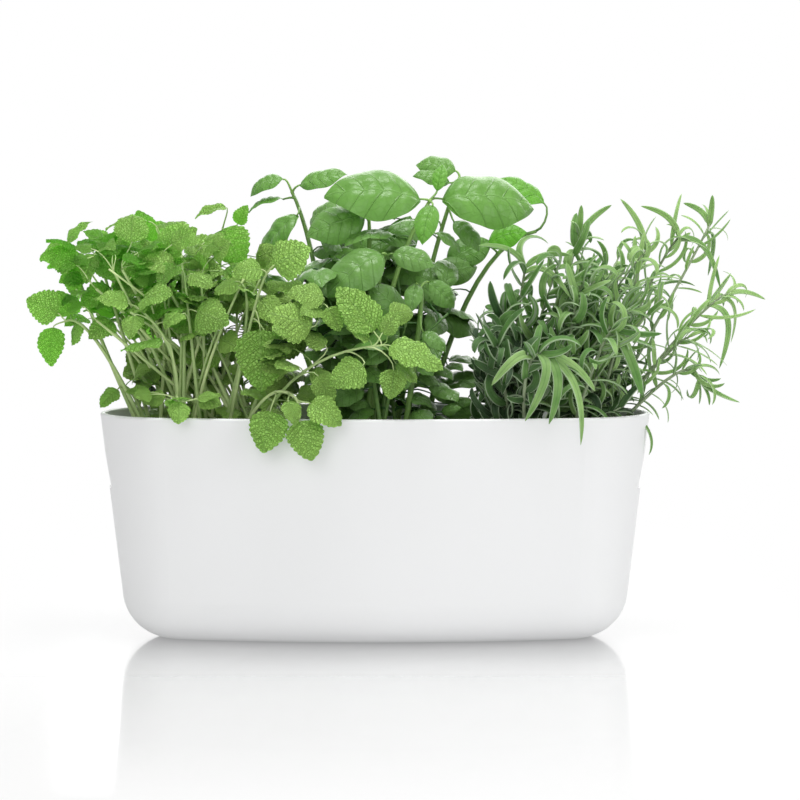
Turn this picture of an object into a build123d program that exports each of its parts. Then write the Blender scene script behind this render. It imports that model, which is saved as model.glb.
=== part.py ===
from build123d import *
import math
import os

# Indoor herb planter: an oval trough with a lift-out water insert and three
# potted herbs in a row. Millimetres and degrees. The origin is the middle of
# the trough's foot, +X runs along the row and +Z is up. -Y is the front.

# Outer pot
length = 370.0
width = 140.0
height = 153.0
end_radius = 58.0
draft = 6.5
wall = 3.2
foot_radius = 33.0
rim_radius = 1.4
overrun = 5.0

# Finger grips at both ends, each a leaning round scoop with a slot at its ledge
grip_top_drop = 20.0
grip_ledge_drop = 50.0
grip_depth = 9.0
grip_radius = 36.0
slot_length = 24.0
slot_height = 5.0

# Water insert: a shelf on legs that keeps the herbs above the water
insert_gap = 0.6
shelf_height = 31.0
shelf_thickness = 2.5
rib_length = 60.0
rib_width = 5.0
rib_spread = 50.0
rib_height = 2.2
leg_radius = 6.0
leg_wall = 1.5
leg_spread = 24.0
fill_notch_length = 22.0
fill_notch_width = 40.0
fill_notch_radius = 5.0

# Felt wick strips
wick_width = 20.0
wick_thickness = 1.8
wick_span = 34.0
wick_floor_gap = 1.5
wick_fit = 0.4
felt_lift = 0.1

# Grow pots
pot_pitch = 112.0
pot_top_radius = 50.0
pot_base_radius = 38.0
pot_height = 96.0
pot_wall = 1.3
pot_lip = 3.0
pot_lip_height = 8.0
drain_length = 12.0
drain_width = 5.0
drain_ring_radius = 22.0
drain_count = 4
soil_drop = 8.0
soil_gap = 0.3

# Planting plan
sight_distance = 1500.0
sight_slope_share = 0.079
step_share = 1 / 550

# Plants
leaf_gap = 0.2
needle_gap = 0.3
balm_leaf_length = 30.0
balm_leaf_thickness = 0.8
balm_stem = 2.8
balm_leafstalk = 1.2
basil_leaf_length = 60.0
basil_leaf_thickness = 1.0
basil_stem = 4.4
basil_leafstalk = 1.9
needle_length = 32.0
needle_width = 3.6
needle_thickness = 1.1
rosemary_stem = 2.8

slope = math.tan(math.radians(draft))
ledge_height = height - grip_ledge_drop
step = length * step_share


def oval(long_axis, short_axis, nose):
    """Four arcs: two round noses joined smoothly to two long bowed sides."""
    half_long, half_short = long_axis / 2, short_axis / 2
    middle = half_long - nose
    bow = (middle**2 + half_short**2 - nose**2) / (2 * (half_short - nose))
    turn = math.atan2(middle, bow - half_short)
    join_x = middle + nose * math.sin(turn)
    join_y = nose * math.cos(turn)
    with BuildLine() as outline:
        ThreePointArc((-join_x, join_y), (0, half_short), (join_x, join_y))
        ThreePointArc((join_x, join_y), (half_long, 0), (join_x, -join_y))
        ThreePointArc((join_x, -join_y), (0, -half_short), (-join_x, -join_y))
        ThreePointArc((-join_x, -join_y), (-half_long, 0), (-join_x, join_y))
    make_face(outline.edges())


def trough_block(base, top, gap, rounding):
    """Solid between two heights whose side runs a steady gap inside the pot's outer side."""
    shrink = (height - base) * slope + gap
    with BuildPart() as block:
        with BuildSketch(Plane.XY.offset(base)):
            oval(length - 2 * shrink, width - 2 * shrink, end_radius - shrink)
        extrude(amount=top - base, taper=-draft)
        if rounding > 0:
            fillet(block.faces().sort_by(Axis.Z)[0].edges(), rounding)
    return block.part


def grip_tool(side, grow):
    """Leaning round bar that stands on the ledge and leaves the wall below the rim."""
    ledge_reach = length / 2 - grip_ledge_drop * slope
    rise = grip_ledge_drop - grip_top_drop
    lean = grip_depth + rise * slope
    tilt = math.hypot(rise, lean) / rise
    with BuildPart() as tool:
        with BuildSketch(Plane.XY.offset(ledge_height - grow)):
            with Locations((side * (ledge_reach - grip_depth + grip_radius), 0)):
                Circle(grip_radius + grow)
        extrude(amount=grip_ledge_drop * tilt, dir=(side * lean, 0, rise))
    return tool.part


cavity = trough_block(wall, height + overrun, wall, foot_radius - wall)
scoops = [grip_tool(side, 0) for side in (-1, 1)]
scoop_backs = [grip_tool(side, wall) for side in (-1, 1)]

with BuildPart() as hollow:
    add(cavity)
    add(scoop_backs, mode=Mode.SUBTRACT)

with BuildPart() as outer_pot:
    add(trough_block(0, height, 0, foot_radius))
    add(scoops, mode=Mode.SUBTRACT)
    add(hollow.part, mode=Mode.SUBTRACT)
    fillet(outer_pot.faces().sort_by(Axis.Z)[-1].edges(), rim_radius)
    with BuildSketch(Plane.YZ):
        with Locations((0, ledge_height + slot_height / 2)):
            SlotOverall(slot_length, slot_height)
    extrude(amount=length / 2, both=True, mode=Mode.SUBTRACT)
outer_pot.part.label = "outer_pot"


def leg_places():
    """Legs stand in pairs between and beyond the three herbs."""
    half = pot_pitch / 2
    rows = (-leg_spread / 2, leg_spread / 2)
    return [(across, along) for across in (-half, half) for along in rows]


def herb_places():
    return [(-pot_pitch, 0), (0, 0), (pot_pitch, 0)]


shelf_top = shelf_height + shelf_thickness
pad_top = shelf_top + rib_height
fill_end = length / 2 - (height - shelf_height) * slope - wall - insert_gap

with BuildPart() as water_insert:
    add(trough_block(shelf_height, shelf_top, wall + insert_gap, 0))
    with BuildSketch(Plane.XY.offset(shelf_top)):
        with Locations(*herb_places()):
            with Locations((0, -rib_spread / 2), (0, rib_spread / 2)):
                Rectangle(rib_length, rib_width)
    extrude(amount=rib_height)
    with BuildSketch(Plane.XY.offset(shelf_height)):
        with Locations((-fill_end, 0), (fill_end, 0)):
            RectangleRounded(2 * fill_notch_length, fill_notch_width, fill_notch_radius)
    extrude(amount=shelf_thickness, mode=Mode.SUBTRACT)
    with BuildSketch(Plane.XY.offset(shelf_height)):
        with Locations(*herb_places()):
            with Locations((0, -wick_span / 2), (0, wick_span / 2)):
                Rectangle(wick_width + 2 * wick_fit, wick_thickness + 2 * wick_fit)
    extrude(amount=shelf_thickness, mode=Mode.SUBTRACT)
    with BuildSketch(Plane.XY.offset(wall)):
        with Locations(*leg_places()):
            Circle(leg_radius)
            Circle(leg_radius - leg_wall, mode=Mode.SUBTRACT)
    extrude(amount=shelf_height - wall)
water_insert.part.label = "water_insert"


def felt_wick(place):
    """Flat felt strip: a bridge under the grow pot and two legs down into the water."""
    half_span = wick_span / 2 + wick_thickness / 2
    leg_bottom = wall + wick_floor_gap
    with BuildPart() as strip:
        with BuildSketch(Plane.YZ.offset(place[0] - wick_width / 2)):
            with BuildLine() as edge:
                Polyline(
                    (-half_span, leg_bottom),
                    (-half_span, shelf_top + felt_lift + wick_thickness),
                    (half_span, shelf_top + felt_lift + wick_thickness),
                    (half_span, leg_bottom),
                    (half_span - wick_thickness, leg_bottom),
                    (half_span - wick_thickness, shelf_top + felt_lift),
                    (-half_span + wick_thickness, shelf_top + felt_lift),
                    (-half_span + wick_thickness, leg_bottom),
                    close=True,
                )
            make_face(edge.edges())
        extrude(amount=wick_width)
    return strip.part


def grow_pot(place):
    """Tapered nursery pot with a rolled lip and drain holes round its base."""
    top = pad_top + pot_height
    lean = (pot_top_radius - pot_base_radius) / pot_height
    lip_base = top - pot_lip_height
    lip_root = pot_top_radius - pot_lip_height * lean
    with BuildPart() as shell:
        with BuildSketch(Plane.XZ):
            with BuildLine() as profile:
                Polyline(
                    (0, pad_top),
                    (pot_base_radius, pad_top),
                    (lip_root, lip_base),
                    (lip_root + pot_lip, lip_base),
                    (pot_top_radius + pot_lip, top),
                    (pot_top_radius - pot_wall, top),
                    (pot_base_radius - pot_wall, pad_top + pot_wall),
                    (0, pad_top + pot_wall),
                    close=True,
                )
            make_face(profile.edges())
        revolve(axis=Axis.Z)
        with BuildSketch(Plane.XY.offset(pad_top)):
            with PolarLocations(drain_ring_radius, drain_count):
                Rectangle(drain_length, drain_width)
        extrude(amount=pot_wall, mode=Mode.SUBTRACT)
    return shell.part.moved(Location((place[0], place[1], 0)))


soil_top = pad_top + pot_height - soil_drop


def soil_plug(place):
    """Potting soil that fills a grow pot up to just under its lip."""
    base = pad_top + pot_wall + soil_gap
    lean = (pot_top_radius - pot_base_radius) / pot_height
    base_radius = pot_base_radius - pot_wall - soil_gap
    top_radius = base_radius + (soil_top - base) * lean
    with BuildPart() as plug:
        with BuildSketch(Plane.XY.offset(base)):
            Circle(base_radius)
        with BuildSketch(Plane.XY.offset(soil_top)):
            Circle(top_radius)
        loft(ruled=True)
    return plug.part.moved(Location((place[0], place[1], 0)))


herbs = ("balm", "basil", "rosemary")
wicks = {name: felt_wick(place) for name, place in zip(herbs, herb_places())}
grow_pots = {name: grow_pot(place) for name, place in zip(herbs, herb_places())}
soils = {name: soil_plug(place) for name, place in zip(herbs, herb_places())}


# Planting plan, in steps of a 550th of the pot's length, as seen from the front:
# across from the middle, rise above the rim and depth behind the middle line.
# A shoot is its root (across, depth), a place half way up and its tip.
balm_shoot_shares = {
    "far left": ((-222, -14), (-279, 85, 0), (-302, 160, 10)),
    "left low": ((-214, -30), (-274, 64, -20), (-310, 90, -24)),
    "left inner": ((-216, 8), (-255, 85, 4), (-274, 150, -6)),
    "left back": ((-205, 30), (-236, 92, 34), (-255, 150, 30)),
    "left tall": ((-190, 12), (-212, 90, 6), (-214, 174, 0)),
    "left front": ((-204, -44), (-200, 45, -60), (-240, 106, -58)),
    "centre front": ((-168, -42), (-182, 60, -52), (-190, 138, -48)),
    "centre": ((-180, -10), (-177, 80, -14), (-176, 150, -22)),
    "centre back": ((-150, 34), (-155, 110, 36), (-152, 184, 34)),
    "right": ((-150, -40), (-125, 82, -66), (-107, 138, -78)),
    "right branch": ((-158, -28), (-130, 75, -48), (-133, 128, -56)),
    "right low": ((-128, -36), (-78, 34, -88), (8, 66, -104)),
    "right middle": ((-136, -44), (-92, 72, -68), (-52, 108, -92)),
    "end": ((-220, 6), (-240, 12, -6), (-256, 24, -8)),
    "back left": ((-196, 48), (-216, 70, 62), (-236, 112, 74)),
    "back": ((-160, 56), (-165, 80, 70), (-186, 128, 78)),
}
trailing_shoot_shares = {
    "over rim": ((-142, -50), (-108, 14, -92), (-74, 8, -114)),
    "rim left": ((-192, -46), (-200, 4, -72), (-196, 12, -92)),
}
# A leaf is its shoot, how far up the shoot its stalk leaves, where the blade
# begins, where it ends, and how far it is rolled about its own length.
balm_leaf_shares = [
    ("far left", 0.97, (-309, 170, 6), (-336, 153, 0), 0),
    ("far left", 0.98, (-307, 170, 14), (-284, 192, 20), 0),
    ("far left", 0.97, (-297, 165, 12), (-276, 170, 22), 20),
    ("far left", 0.90, (-293, 158, -4), (-316, 144, -18), 0),
    ("far left", 0.80, (-303, 140, -4), (-300, 115, -8), 0),
    ("left low", 0.95, (-316, 98, -28), (-348, 112, -36), -20),
    ("left low", 0.85, (-304, 96, -10), (-318, 122, 0), 0),
    ("left low", 0.80, (-298, 92, -8), (-304, 66, 2), 0),
    ("left low", 0.98, (-322, 84, -20), (-324, 45, -22), 25),
    ("left inner", 0.97, (-280, 157, -18), (-288, 129, -36), 0),
    ("left inner", 0.95, (-266, 161, 4), (-290, 181, -6), 10),
    ("left inner", 0.70, (-264, 124, -10), (-294, 106, -24), 0),
    ("left inner", 0.45, (-262, 90, -14), (-286, 74, -28), 0),
    ("left back", 0.98, (-256, 170, 24), (-236, 185, 14), 0),
    ("left back", 0.95, (-250, 162, 34), (-226, 166, 40), 0),
    ("left back", 0.90, (-244, 148, 22), (-217, 156, 8), 0),
    ("left back", 0.80, (-243, 142, 42), (-266, 124, 58), 0),
    ("left tall", 0.99, (-226, 190, -6), (-269, 184, -14), 0),
    ("left tall", 0.98, (-218, 184, 6), (-188, 191, 14), 0),
    ("left tall", 0.90, (-208, 170, -8), (-190, 178, -20), 0),
    ("left tall", 0.80, (-206, 158, 10), (-182, 150, 22), 0),
    ("left tall", 0.62, (-218, 136, 12), (-240, 122, 26), 0),
    ("left front", 0.97, (-246, 108, -62), (-277, 113, -72), 0),
    ("left front", 0.93, (-232, 112, -62), (-202, 118, -84), 0),
    ("left front", 0.80, (-240, 96, -66), (-246, 74, -84), 10),
    ("left front", 0.50, (-212, 72, -76), (-254, 62, -88), 0),
    ("centre front", 0.98, (-196, 146, -52), (-216, 126, -66), 0),
    ("centre front", 0.90, (-182, 138, -58), (-162, 124, -74), 0),
    ("centre front", 0.72, (-178, 100, -66), (-147, 88, -84), 10),
    ("centre front", 0.60, (-192, 98, -70), (-210, 84, -84), 0),
    ("centre", 0.97, (-184, 154, -24), (-162, 160, -30), 0),
    ("centre", 0.94, (-172, 152, -30), (-190, 164, -36), 0),
    ("centre", 0.60, (-170, 110, -24), (-190, 124, -36), 0),
    ("centre back", 0.98, (-149, 204, 28), (-180, 194, 20), 0),
    ("centre back", 0.92, (-152, 182, 24), (-134, 146, 8), 10),
    ("centre back", 0.90, (-137, 187, 28), (-128, 206, 24), 0),
    ("centre back", 0.60, (-164, 122, 40), (-190, 132, 52), 0),
    ("right", 0.97, (-112, 142, -80), (-142, 138, -90), -10),
    ("right", 0.99, (-100, 146, -84), (-64, 164, -88), 0),
    ("right", 0.60, (-114, 82, -82), (-113, 20, -90), 15),
    ("right", 0.55, (-108, 78, -76), (-90, 50, -84), 0),
    ("right branch", 0.98, (-138, 130, -62), (-160, 120, -72), 0),
    ("right low", 0.99, (0, 80, -104), (-36, 126, -98), 0),
    ("right low", 0.95, (8, 78, -102), (24, 100, -96), 0),
    ("right low", 0.98, (16, 66, -108), (70, 42, -112), 0),
    ("right low", 0.80, (-10, 46, -116), (-44, 28, -122), 15),
    ("right low", 0.92, (20, 42, -108), (16, 12, -110), 0),
    ("right low", 0.45, (-56, 36, -106), (-40, 10, -104), 10),
    ("right low", 0.55, (-48, 66, -96), (-74, 82, -92), 0),
    ("right middle", 0.90, (-62, 84, -106), (-104, 100, -114), 0),
    ("right middle", 0.98, (-50, 114, -98), (-86, 120, -104), 0),
    ("right middle", 0.96, (-46, 104, -100), (-34, 80, -106), 0),
    ("right middle", 0.80, (-70, 122, -88), (-98, 124, -84), 0),
    ("end", 0.95, (-258, 22, -12), (-276, 4, -20), 0),
    ("end", 0.60, (-242, 20, -14), (-224, 30, -24), 0),
    ("back left", 0.98, (-242, 116, 80), (-268, 108, 92), 0),
    ("back left", 0.95, (-228, 118, 82), (-206, 132, 92), 0),
    ("back left", 0.70, (-226, 92, 78), (-232, 66, 96), 0),
    ("back", 0.98, (-190, 134, 84), (-214, 148, 94), 0),
    ("back", 0.90, (-178, 124, 84), (-180, 96, 102), 0),
]

trailing_leaf_shares = [
    ("over rim", 0.60, (-104, 0, -118), (-112, -42, -122), 10),
    ("over rim", 0.90, (-74, -10, -120), (-62, -50, -124), 0),
    ("over rim", 0.95, (-64, 8, -118), (-32, -14, -122), 0),
    ("over rim", 0.80, (-86, 10, -124), (-78, -14, -132), 0),
    ("rim left", 0.98, (-196, 10, -96), (-196, -12, -112), 0),
]

basil_shoot_shares = {
    "left": ((-34, 34), (-58, 130, 72), (-84, 220, 88)),
    "middle": ((-12, -22), (14, 110, -18), (56, 212, -10)),
    "middle left": ((-20, 8), (-8, 110, 4), (-6, 194, -2)),
    "back right": ((16, 36), (52, 130, 44), (84, 234, 46)),
    "right": ((44, 40), (96, 120, 80), (160, 180, 88)),
    "dark": ((-2, -4), (0, 90, -30), (12, 156, -38)),
    "front": ((26, -20), (44, 80, -36), (46, 122, -40)),
    "far left": ((-44, 30), (-80, 80, 72), (-128, 130, 92)),
    "back": ((0, 50), (6, 80, 78), (22, 150, 88)),
}
basil_leaf_shares = [
    ("left", 0.99, (-92, 232, 88), (-127, 218, 92), 0),
    ("left", 0.97, (-76, 226, 82), (-29, 238, 70), 0),
    ("left", 0.92, (-92, 212, 92), (-128, 202, 96), 30),
    ("left", 0.84, (-78, 196, 60), (-116, 152, 71), 10),
    ("middle", 0.98, (46, 212, -14), (-50, 216, -26), 10),
    ("middle", 0.98, (68, 212, 2), (160, 205, 36), 0),
    ("middle", 0.99, (62, 220, -4), (68, 247, 4), 0),
    ("middle", 0.97, (58, 206, -22), (48, 168, -42), 0),
    ("middle", 0.80, (60, 178, 6), (86, 160, 12), 0),
    ("middle left", 0.98, (-10, 196, -10), (-68, 176, -24), 0),
    ("middle left", 0.80, (4, 172, 4), (42, 172, 12), 0),
    ("back right", 0.99, (80, 240, 50), (40, 248, 56), 0),
    ("back right", 0.95, (74, 228, 36), (38, 236, 28), 0),
    ("back right", 0.80, (78, 190, 36), (104, 160, 30), 0),
    ("right", 0.99, (168, 208, 90), (120, 236, 94), 30),
    ("right", 0.70, (112, 168, 74), (150, 180, 64), 20),
    ("dark", 0.98, (8, 158, -46), (-48, 118, -66), 0),
    ("dark", 0.90, (18, 158, -46), (60, 146, -52), 0),
    ("dark", 0.70, (-8, 110, -44), (-40, 84, -56), 0),
    ("front", 0.98, (42, 128, -50), (36, 100, -66), 0),
    ("front", 0.95, (54, 130, -34), (80, 104, -26), 0),
    ("front", 0.60, (48, 80, -48), (72, 60, -58), 0),
    ("far left", 0.98, (-134, 138, 98), (-166, 96, 104), 0),
    ("far left", 0.85, (-108, 136, 78), (-84, 108, 66), 0),
    ("far left", 0.98, (-124, 132, 104), (-92, 124, 118), 0),
    ("back", 0.98, (14, 158, 96), (-34, 142, 112), 0),
    ("back", 0.96, (32, 150, 96), (78, 130, 108), 0),
    ("back", 0.70, (8, 104, 94), (-10, 76, 112), 0),
]

# A rosemary sprig also has its number of needles and their length.
rosemary_sprig_shares = {
    "high": ((172, -6), (188, 100, -12), (204, 176, -12), 8, 1.0),
    "star left": ((128, -24), (142, 80, -36), (151, 146, -34), 7, 1.2),
    "tall": ((212, -10), (250, 95, -18), (272, 164, -16), 9, 1.0),
    "arc": ((212, 20), (262, 100, 26), (304, 176, 22), 6, 1.2),
    "far star": ((210, 30), (292, 108, 40), (334, 188, 36), 6, 0.9),
    "far right": ((212, 2), (298, 68, 6), (352, 118, 8), 7, 1.1),
    "tendril": ((214, -20), (296, 34, -20), (326, 28, -24), 6, 1.0),
    "big front": ((150, -48), (152, 34, -84), (172, 58, -100), 5, 1.1),
    "front right": ((186, -44), (226, 60, -76), (244, 78, -84), 7, 1.1),
    "middle": ((172, -34), (196, 76, -56), (202, 112, -58), 9, 1.0),
    "middle right": ((196, -24), (232, 64, -40), (250, 100, -44), 9, 1.0),
    "left low": ((138, -44), (128, 40, -66), (122, 66, -74), 7, 1.0),
    "left dark": ((146, -12), (134, 60, -30), (128, 98, -34), 7, 1.0),
    "back": ((194, 46), (206, 96, 68), (214, 138, 66), 8, 1.0),
    "back right": ((198, 44), (246, 80, 52), (274, 122, 60), 8, 1.0),
    "right": ((206, -8), (280, 44, -10), (314, 74, -12), 8, 1.0),
}
# Long needles that show: the sprig, how far up it and where the needle ends.
long_needle_shares = [
    ("big front", 0.97, (208, -34, -126)),
    ("big front", 0.86, (152, -10, -118)),
    ("big front", 0.92, (176, -13, -124)),
    ("big front", 0.99, (222, 20, -104)),
    ("big front", 0.74, (118, 26, -100)),
    ("star left", 0.98, (104, 166, -46)),
    ("star left", 0.96, (196, 156, -46)),
    ("star left", 0.90, (196, 114, -64)),
    ("front right", 0.97, (269, 16, -108)),
    ("tendril", 0.98, (366, 9, -30)),
    ("far right", 0.98, (390, 112, 4)),
    ("far right", 0.92, (356, 69, 16)),
    ("far right", 0.80, (345, 43, -8)),
    ("arc", 0.98, (265, 205, 10)),
    ("arc", 0.96, (345, 123, 4)),
    ("far star", 0.98, (307, 208, 44)),
    ("far star", 0.96, (336, 216, 26)),
    ("far star", 0.90, (332, 136, 60)),
    ("high", 0.98, (236, 206, -18)),
    ("high", 0.95, (206, 206, -26)),
    ("tall", 0.95, (245, 212, -20)),
]
needle_turn = 137.5
side_step = 50.0
turns_tried = 6
needle_spread = 56.0
tip_spread = 26.0
bare_share = 0.14
basil_overhang = 128.0
rosemary_edge = 66.0
needle_clearance = 3.2
rim_room = 12.0
run_share = 0.1
probe_shares = (0.1, 0.3, 0.5, 0.7, 0.9, 1.0)
stem_stop_shares = (0.0, 0.33, 0.67, 1.0)
stem_taper_share = 0.5
stem_corner_share = 0.71
stalk_taper_share = 0.5

balm_edge_shares = (
    (0.00, 0.02),
    (0.06, 0.26),
    (0.26, 0.40),
    (0.34, 0.35),
    (0.60, 0.34),
    (0.68, 0.26),
)
balm_arch_shares = ((0.00, 0.00), (0.34, 0.06), (0.68, 0.05), (1.00, -0.02))
basil_edge_shares = (
    (0.00, 0.02),
    (0.10, 0.17),
    (0.32, 0.29),
    (0.66, 0.26),
    (0.88, 0.12),
)
basil_arch_shares = ((0.00, 0.00), (0.32, 0.11), (0.66, 0.12), (1.00, -0.04))
needle_edge_shares = ((0.00, 0.45), (0.50, 1.00))
needle_arch_shares = ((0.00, 0.00), (0.50, 0.10), (1.00, 0.00))
long_edge_shares = ((0.00, 0.45), (0.30, 1.00), (0.70, 0.95))
long_arch_shares = ((0.00, 0.00), (0.30, 0.12), (0.70, 0.14), (1.00, 0.00))
balm_roof_share = 0.25
basil_roof_share = 0.35
light_lean_share = 1.2


def blade(long, thick, edge, arch, roof):
    """Leaf along +X: an arched sheet, folded along its midrib and cut to its outline."""
    lower = [(x * long, z * long - thick / 2) for x, z in arch]
    upper = [(x * long, z * long + thick / 2) for x, z in reversed(arch)]
    rim = [(0, 0)] + [(x * long, y * long) for x, y in edge] + [(long, 0)]
    with BuildPart() as leaf:
        with BuildSketch(Plane.XZ):
            with BuildLine() as band:
                Polyline(*lower, *upper, close=True)
            make_face(band.edges())
        extrude(amount=long, dir=(0, 1, -roof))
        with BuildSketch(Plane.XY):
            with BuildLine() as outline:
                Polyline(*rim, close=True)
            make_face(outline.edges())
        extrude(amount=long, both=True, mode=Mode.INTERSECT)
        mirror(about=Plane.XZ)
    return leaf.part


def needle(long, wide, thick, edge, arch):
    """Narrow needle along +X, bent over its length and pointed at its tip."""
    lower = [(x * long, z * long - thick / 2) for x, z in arch]
    upper = [(x * long, z * long + thick / 2) for x, z in reversed(arch)]
    left = [(x * long, y * wide / 2) for x, y in edge]
    right = [(x * long, -y * wide / 2) for x, y in reversed(edge)]
    with BuildPart() as leaf:
        with BuildSketch(Plane.XZ):
            with BuildLine() as band:
                Polyline(*lower, *upper, close=True)
            make_face(band.edges())
        extrude(amount=wide, both=True)
        with BuildSketch(Plane.XY):
            with BuildLine() as outline:
                Polyline(*left, (long, 0), *right, close=True)
            make_face(outline.edges())
        extrude(amount=long, both=True, mode=Mode.INTERSECT)
    return leaf.part


def spot(across, rise, depth):
    """A place of the planting plan, seen from the front and a little above the rim."""
    far = depth * step
    spread = 1 + far / sight_distance
    return Vector(
        across * step * spread,
        far,
        height + rise * step * spread - far * sight_slope_share,
    )


def stem_points(shoot):
    """Four points on the curve through a shoot's root, middle and tip."""
    root = Vector(shoot[0][0] * step, shoot[0][1] * step, soil_top)
    middle, tip = spot(*shoot[1]), spot(*shoot[2])
    pull = middle * 2 - (root + tip) * 0.5
    return [
        root * (1 - along) ** 2 + pull * (2 * along * (1 - along)) + tip * along**2
        for along in stem_stop_shares
    ]


def shoot_place(shoot, along):
    """Point at a share along the straight runs of a shoot's stem."""
    points = stem_points(shoot)
    runs = len(points) - 1
    run = min(int(along * runs), runs - 1)
    return points[run] + (points[run + 1] - points[run]) * (along * runs - run)


def rod(points, widths, first_run):
    """Square tapered rod through a few points, without twist, cut square to its first run."""
    sideways = Vector(0, 1, 0)
    with BuildPart() as stick:
        for index, (point, wide) in enumerate(zip(points, widths)):
            before = points[max(index - 1, 0)]
            after = points[min(index + 1, len(points) - 1)]
            run = (after - before).normalized() if index > 0 else first_run
            sideways = (sideways - run * run.dot(sideways)).normalized()
            with BuildSketch(Plane(origin=point, x_dir=sideways, z_dir=run)):
                Rectangle(wide, wide)
        loft(ruled=True)
    return stick.part


def stem(shoot, wide):
    """Stem of one shoot, standing flat on the soil and half as wide at its tip."""
    widths = [wide * (1 - along * stem_taper_share) for along in stem_stop_shares]
    return rod(stem_points(shoot), widths, Vector(0, 0, 1))


def leaf_ends(leaf, stalk):
    """Where a leaf's stalk ends, and where its blade begins and ends."""
    start, tip = spot(*leaf[2]), spot(*leaf[3])
    run = (tip - start).normalized()
    return start, start + run * (stalk * stalk_taper_share * stem_corner_share + leaf_gap), tip


def placed(shape, long, start, tip, face, roll):
    """Copy of a leaf along +X, scaled and turned to lie from start to tip."""
    chord = tip - start
    along = chord.normalized()
    normal = (face - along * face.dot(along)).rotate(Axis((0, 0, 0), along), roll)
    sized = scale(shape, by=chord.length / long)
    return sized.moved(Location(Plane(origin=start, x_dir=along, z_dir=normal)))


def stems_of(shoots, leaves, wide, stalk):
    """All stems and leaf stalks of one herb."""
    pieces = [stem(shoot, wide) for shoot in shoots.values()]
    for leaf in leaves:
        foot, end = shoot_place(shoots[leaf[0]], leaf[1]), leaf_ends(leaf, stalk)[0]
        widths = [stalk, stalk * stalk_taper_share]
        pieces.append(rod([foot, end], widths, (end - foot).normalized()))
    with BuildPart() as bush:
        add(pieces)
    return bush.part


def leaves_of(shape, long, leaves, stalk):
    """All leaf blades of one herb."""
    light = Vector(0, -light_lean_share, 1)
    pieces = []
    for leaf in leaves:
        start, tip = leaf_ends(leaf, stalk)[1:]
        pieces.append(placed(shape, long, start, tip, light, leaf[4]))
    with BuildPart() as crown:
        add(pieces)
    return crown.part


def sprig_run(sprig, along):
    """Direction in which a sprig's stem runs at a share along it."""
    return (
        shoot_place(sprig, min(along + run_share, 1)) - shoot_place(sprig, along - run_share)
    ).normalized()


def seated(sprig, along, lay):
    """Where a needle that leaves a sprig in a direction clears the sprig's stem."""
    foot, end = shoot_place(sprig, along), shoot_place(sprig, 1)
    lean = abs(sprig_run(sprig, along).dot(lay))
    corner = rosemary_stem * (1 - along * stem_taper_share) * stem_corner_share
    beside = (corner + needle_gap + lean * needle_thickness / 2) / math.sqrt(1 - lean**2)
    beyond = (end - foot).length + needle_gap + needle_thickness / 2
    return foot + lay * min(beside, beyond)


def needle_lay(run, angle, turn):
    """Direction of a needle that leaves a stem at an angle, turned about the stem."""
    side = (Vector(0, 1, 0) - run * run.Y).normalized().rotate(Axis((0, 0, 0), run), turn)
    return run * math.cos(angle) + side * math.sin(angle)


def near(point, low, high):
    """Distance from a point to the straight run between two others."""
    run = high - low
    share = min(max((point - low).dot(run) / run.dot(run), 0), 1)
    return (point - (low + run * share)).length


def is_free(start, tip, others):
    """Whether a needle keeps clear of the basil, the rim and every other stem and needle."""
    probes = [start + (tip - start) * share for share in probe_shares]
    for point in probes:
        if point.X < (basil_overhang if point.Y > -needle_clearance else rosemary_edge):
            return False
        if point.Z < height + needle_clearance and abs(point.Y) > width / 2 - rim_room:
            return False
    ends = [low + (high - low) * share for low, high in others for share in probe_shares]
    aside = [near(point, low, high) for point in probes for low, high in others]
    return min(aside + [near(end, start, tip) for end in ends]) > needle_clearance


def stem_runs(shoots):
    """The straight runs of every stem, as pairs of points."""
    runs = []
    for shoot in shoots.values():
        points = stem_points(shoot)
        runs.extend(zip(points, points[1:]))
    return runs


def needles_of(short, long, sprigs, long_needles):
    """Needles set spirally up each sprig, turned aside where another is in the way."""
    light = Vector(0, -light_lean_share, 1)
    pieces = []
    runs = stem_runs(sprigs)
    for name, along, place in long_needles:
        foot, tip = shoot_place(sprigs[name], along), spot(*place)
        start = seated(sprigs[name], along, (tip - foot).normalized())
        pieces.append(placed(long, needle_length, start, tip, light, 0))
        runs.append((start, tip))
    for sprig in sprigs.values():
        count, size = sprig[3], sprig[4]
        for index in range(count):
            along = bare_share + (1 - bare_share) * (index + 0.5) / count
            foot = shoot_place(sprig, along)
            others = [pair for pair in runs if near(foot, *pair) > rosemary_stem]
            run = sprig_run(sprig, along)
            angle = math.radians(needle_spread + (tip_spread - needle_spread) * along**2)
            for attempt in range(turns_tried):
                lay = needle_lay(run, angle, index * needle_turn + attempt * side_step)
                start = seated(sprig, along, lay)
                tip = start + lay * needle_length * size
                if is_free(start, tip, others):
                    pieces.append(placed(short, needle_length, start, tip, run, 0))
                    runs.append((start, tip))
                    break
    with BuildPart() as needles:
        add(pieces)
    return needles.part


balm_blade = blade(
    balm_leaf_length, balm_leaf_thickness, balm_edge_shares, balm_arch_shares, balm_roof_share
)
basil_blade = blade(
    basil_leaf_length, basil_leaf_thickness, basil_edge_shares, basil_arch_shares, basil_roof_share
)
short_needle = needle(
    needle_length, needle_width, needle_thickness, needle_edge_shares, needle_arch_shares
)
long_needle = needle(
    needle_length, needle_width, needle_thickness, long_edge_shares, long_arch_shares
)

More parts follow.
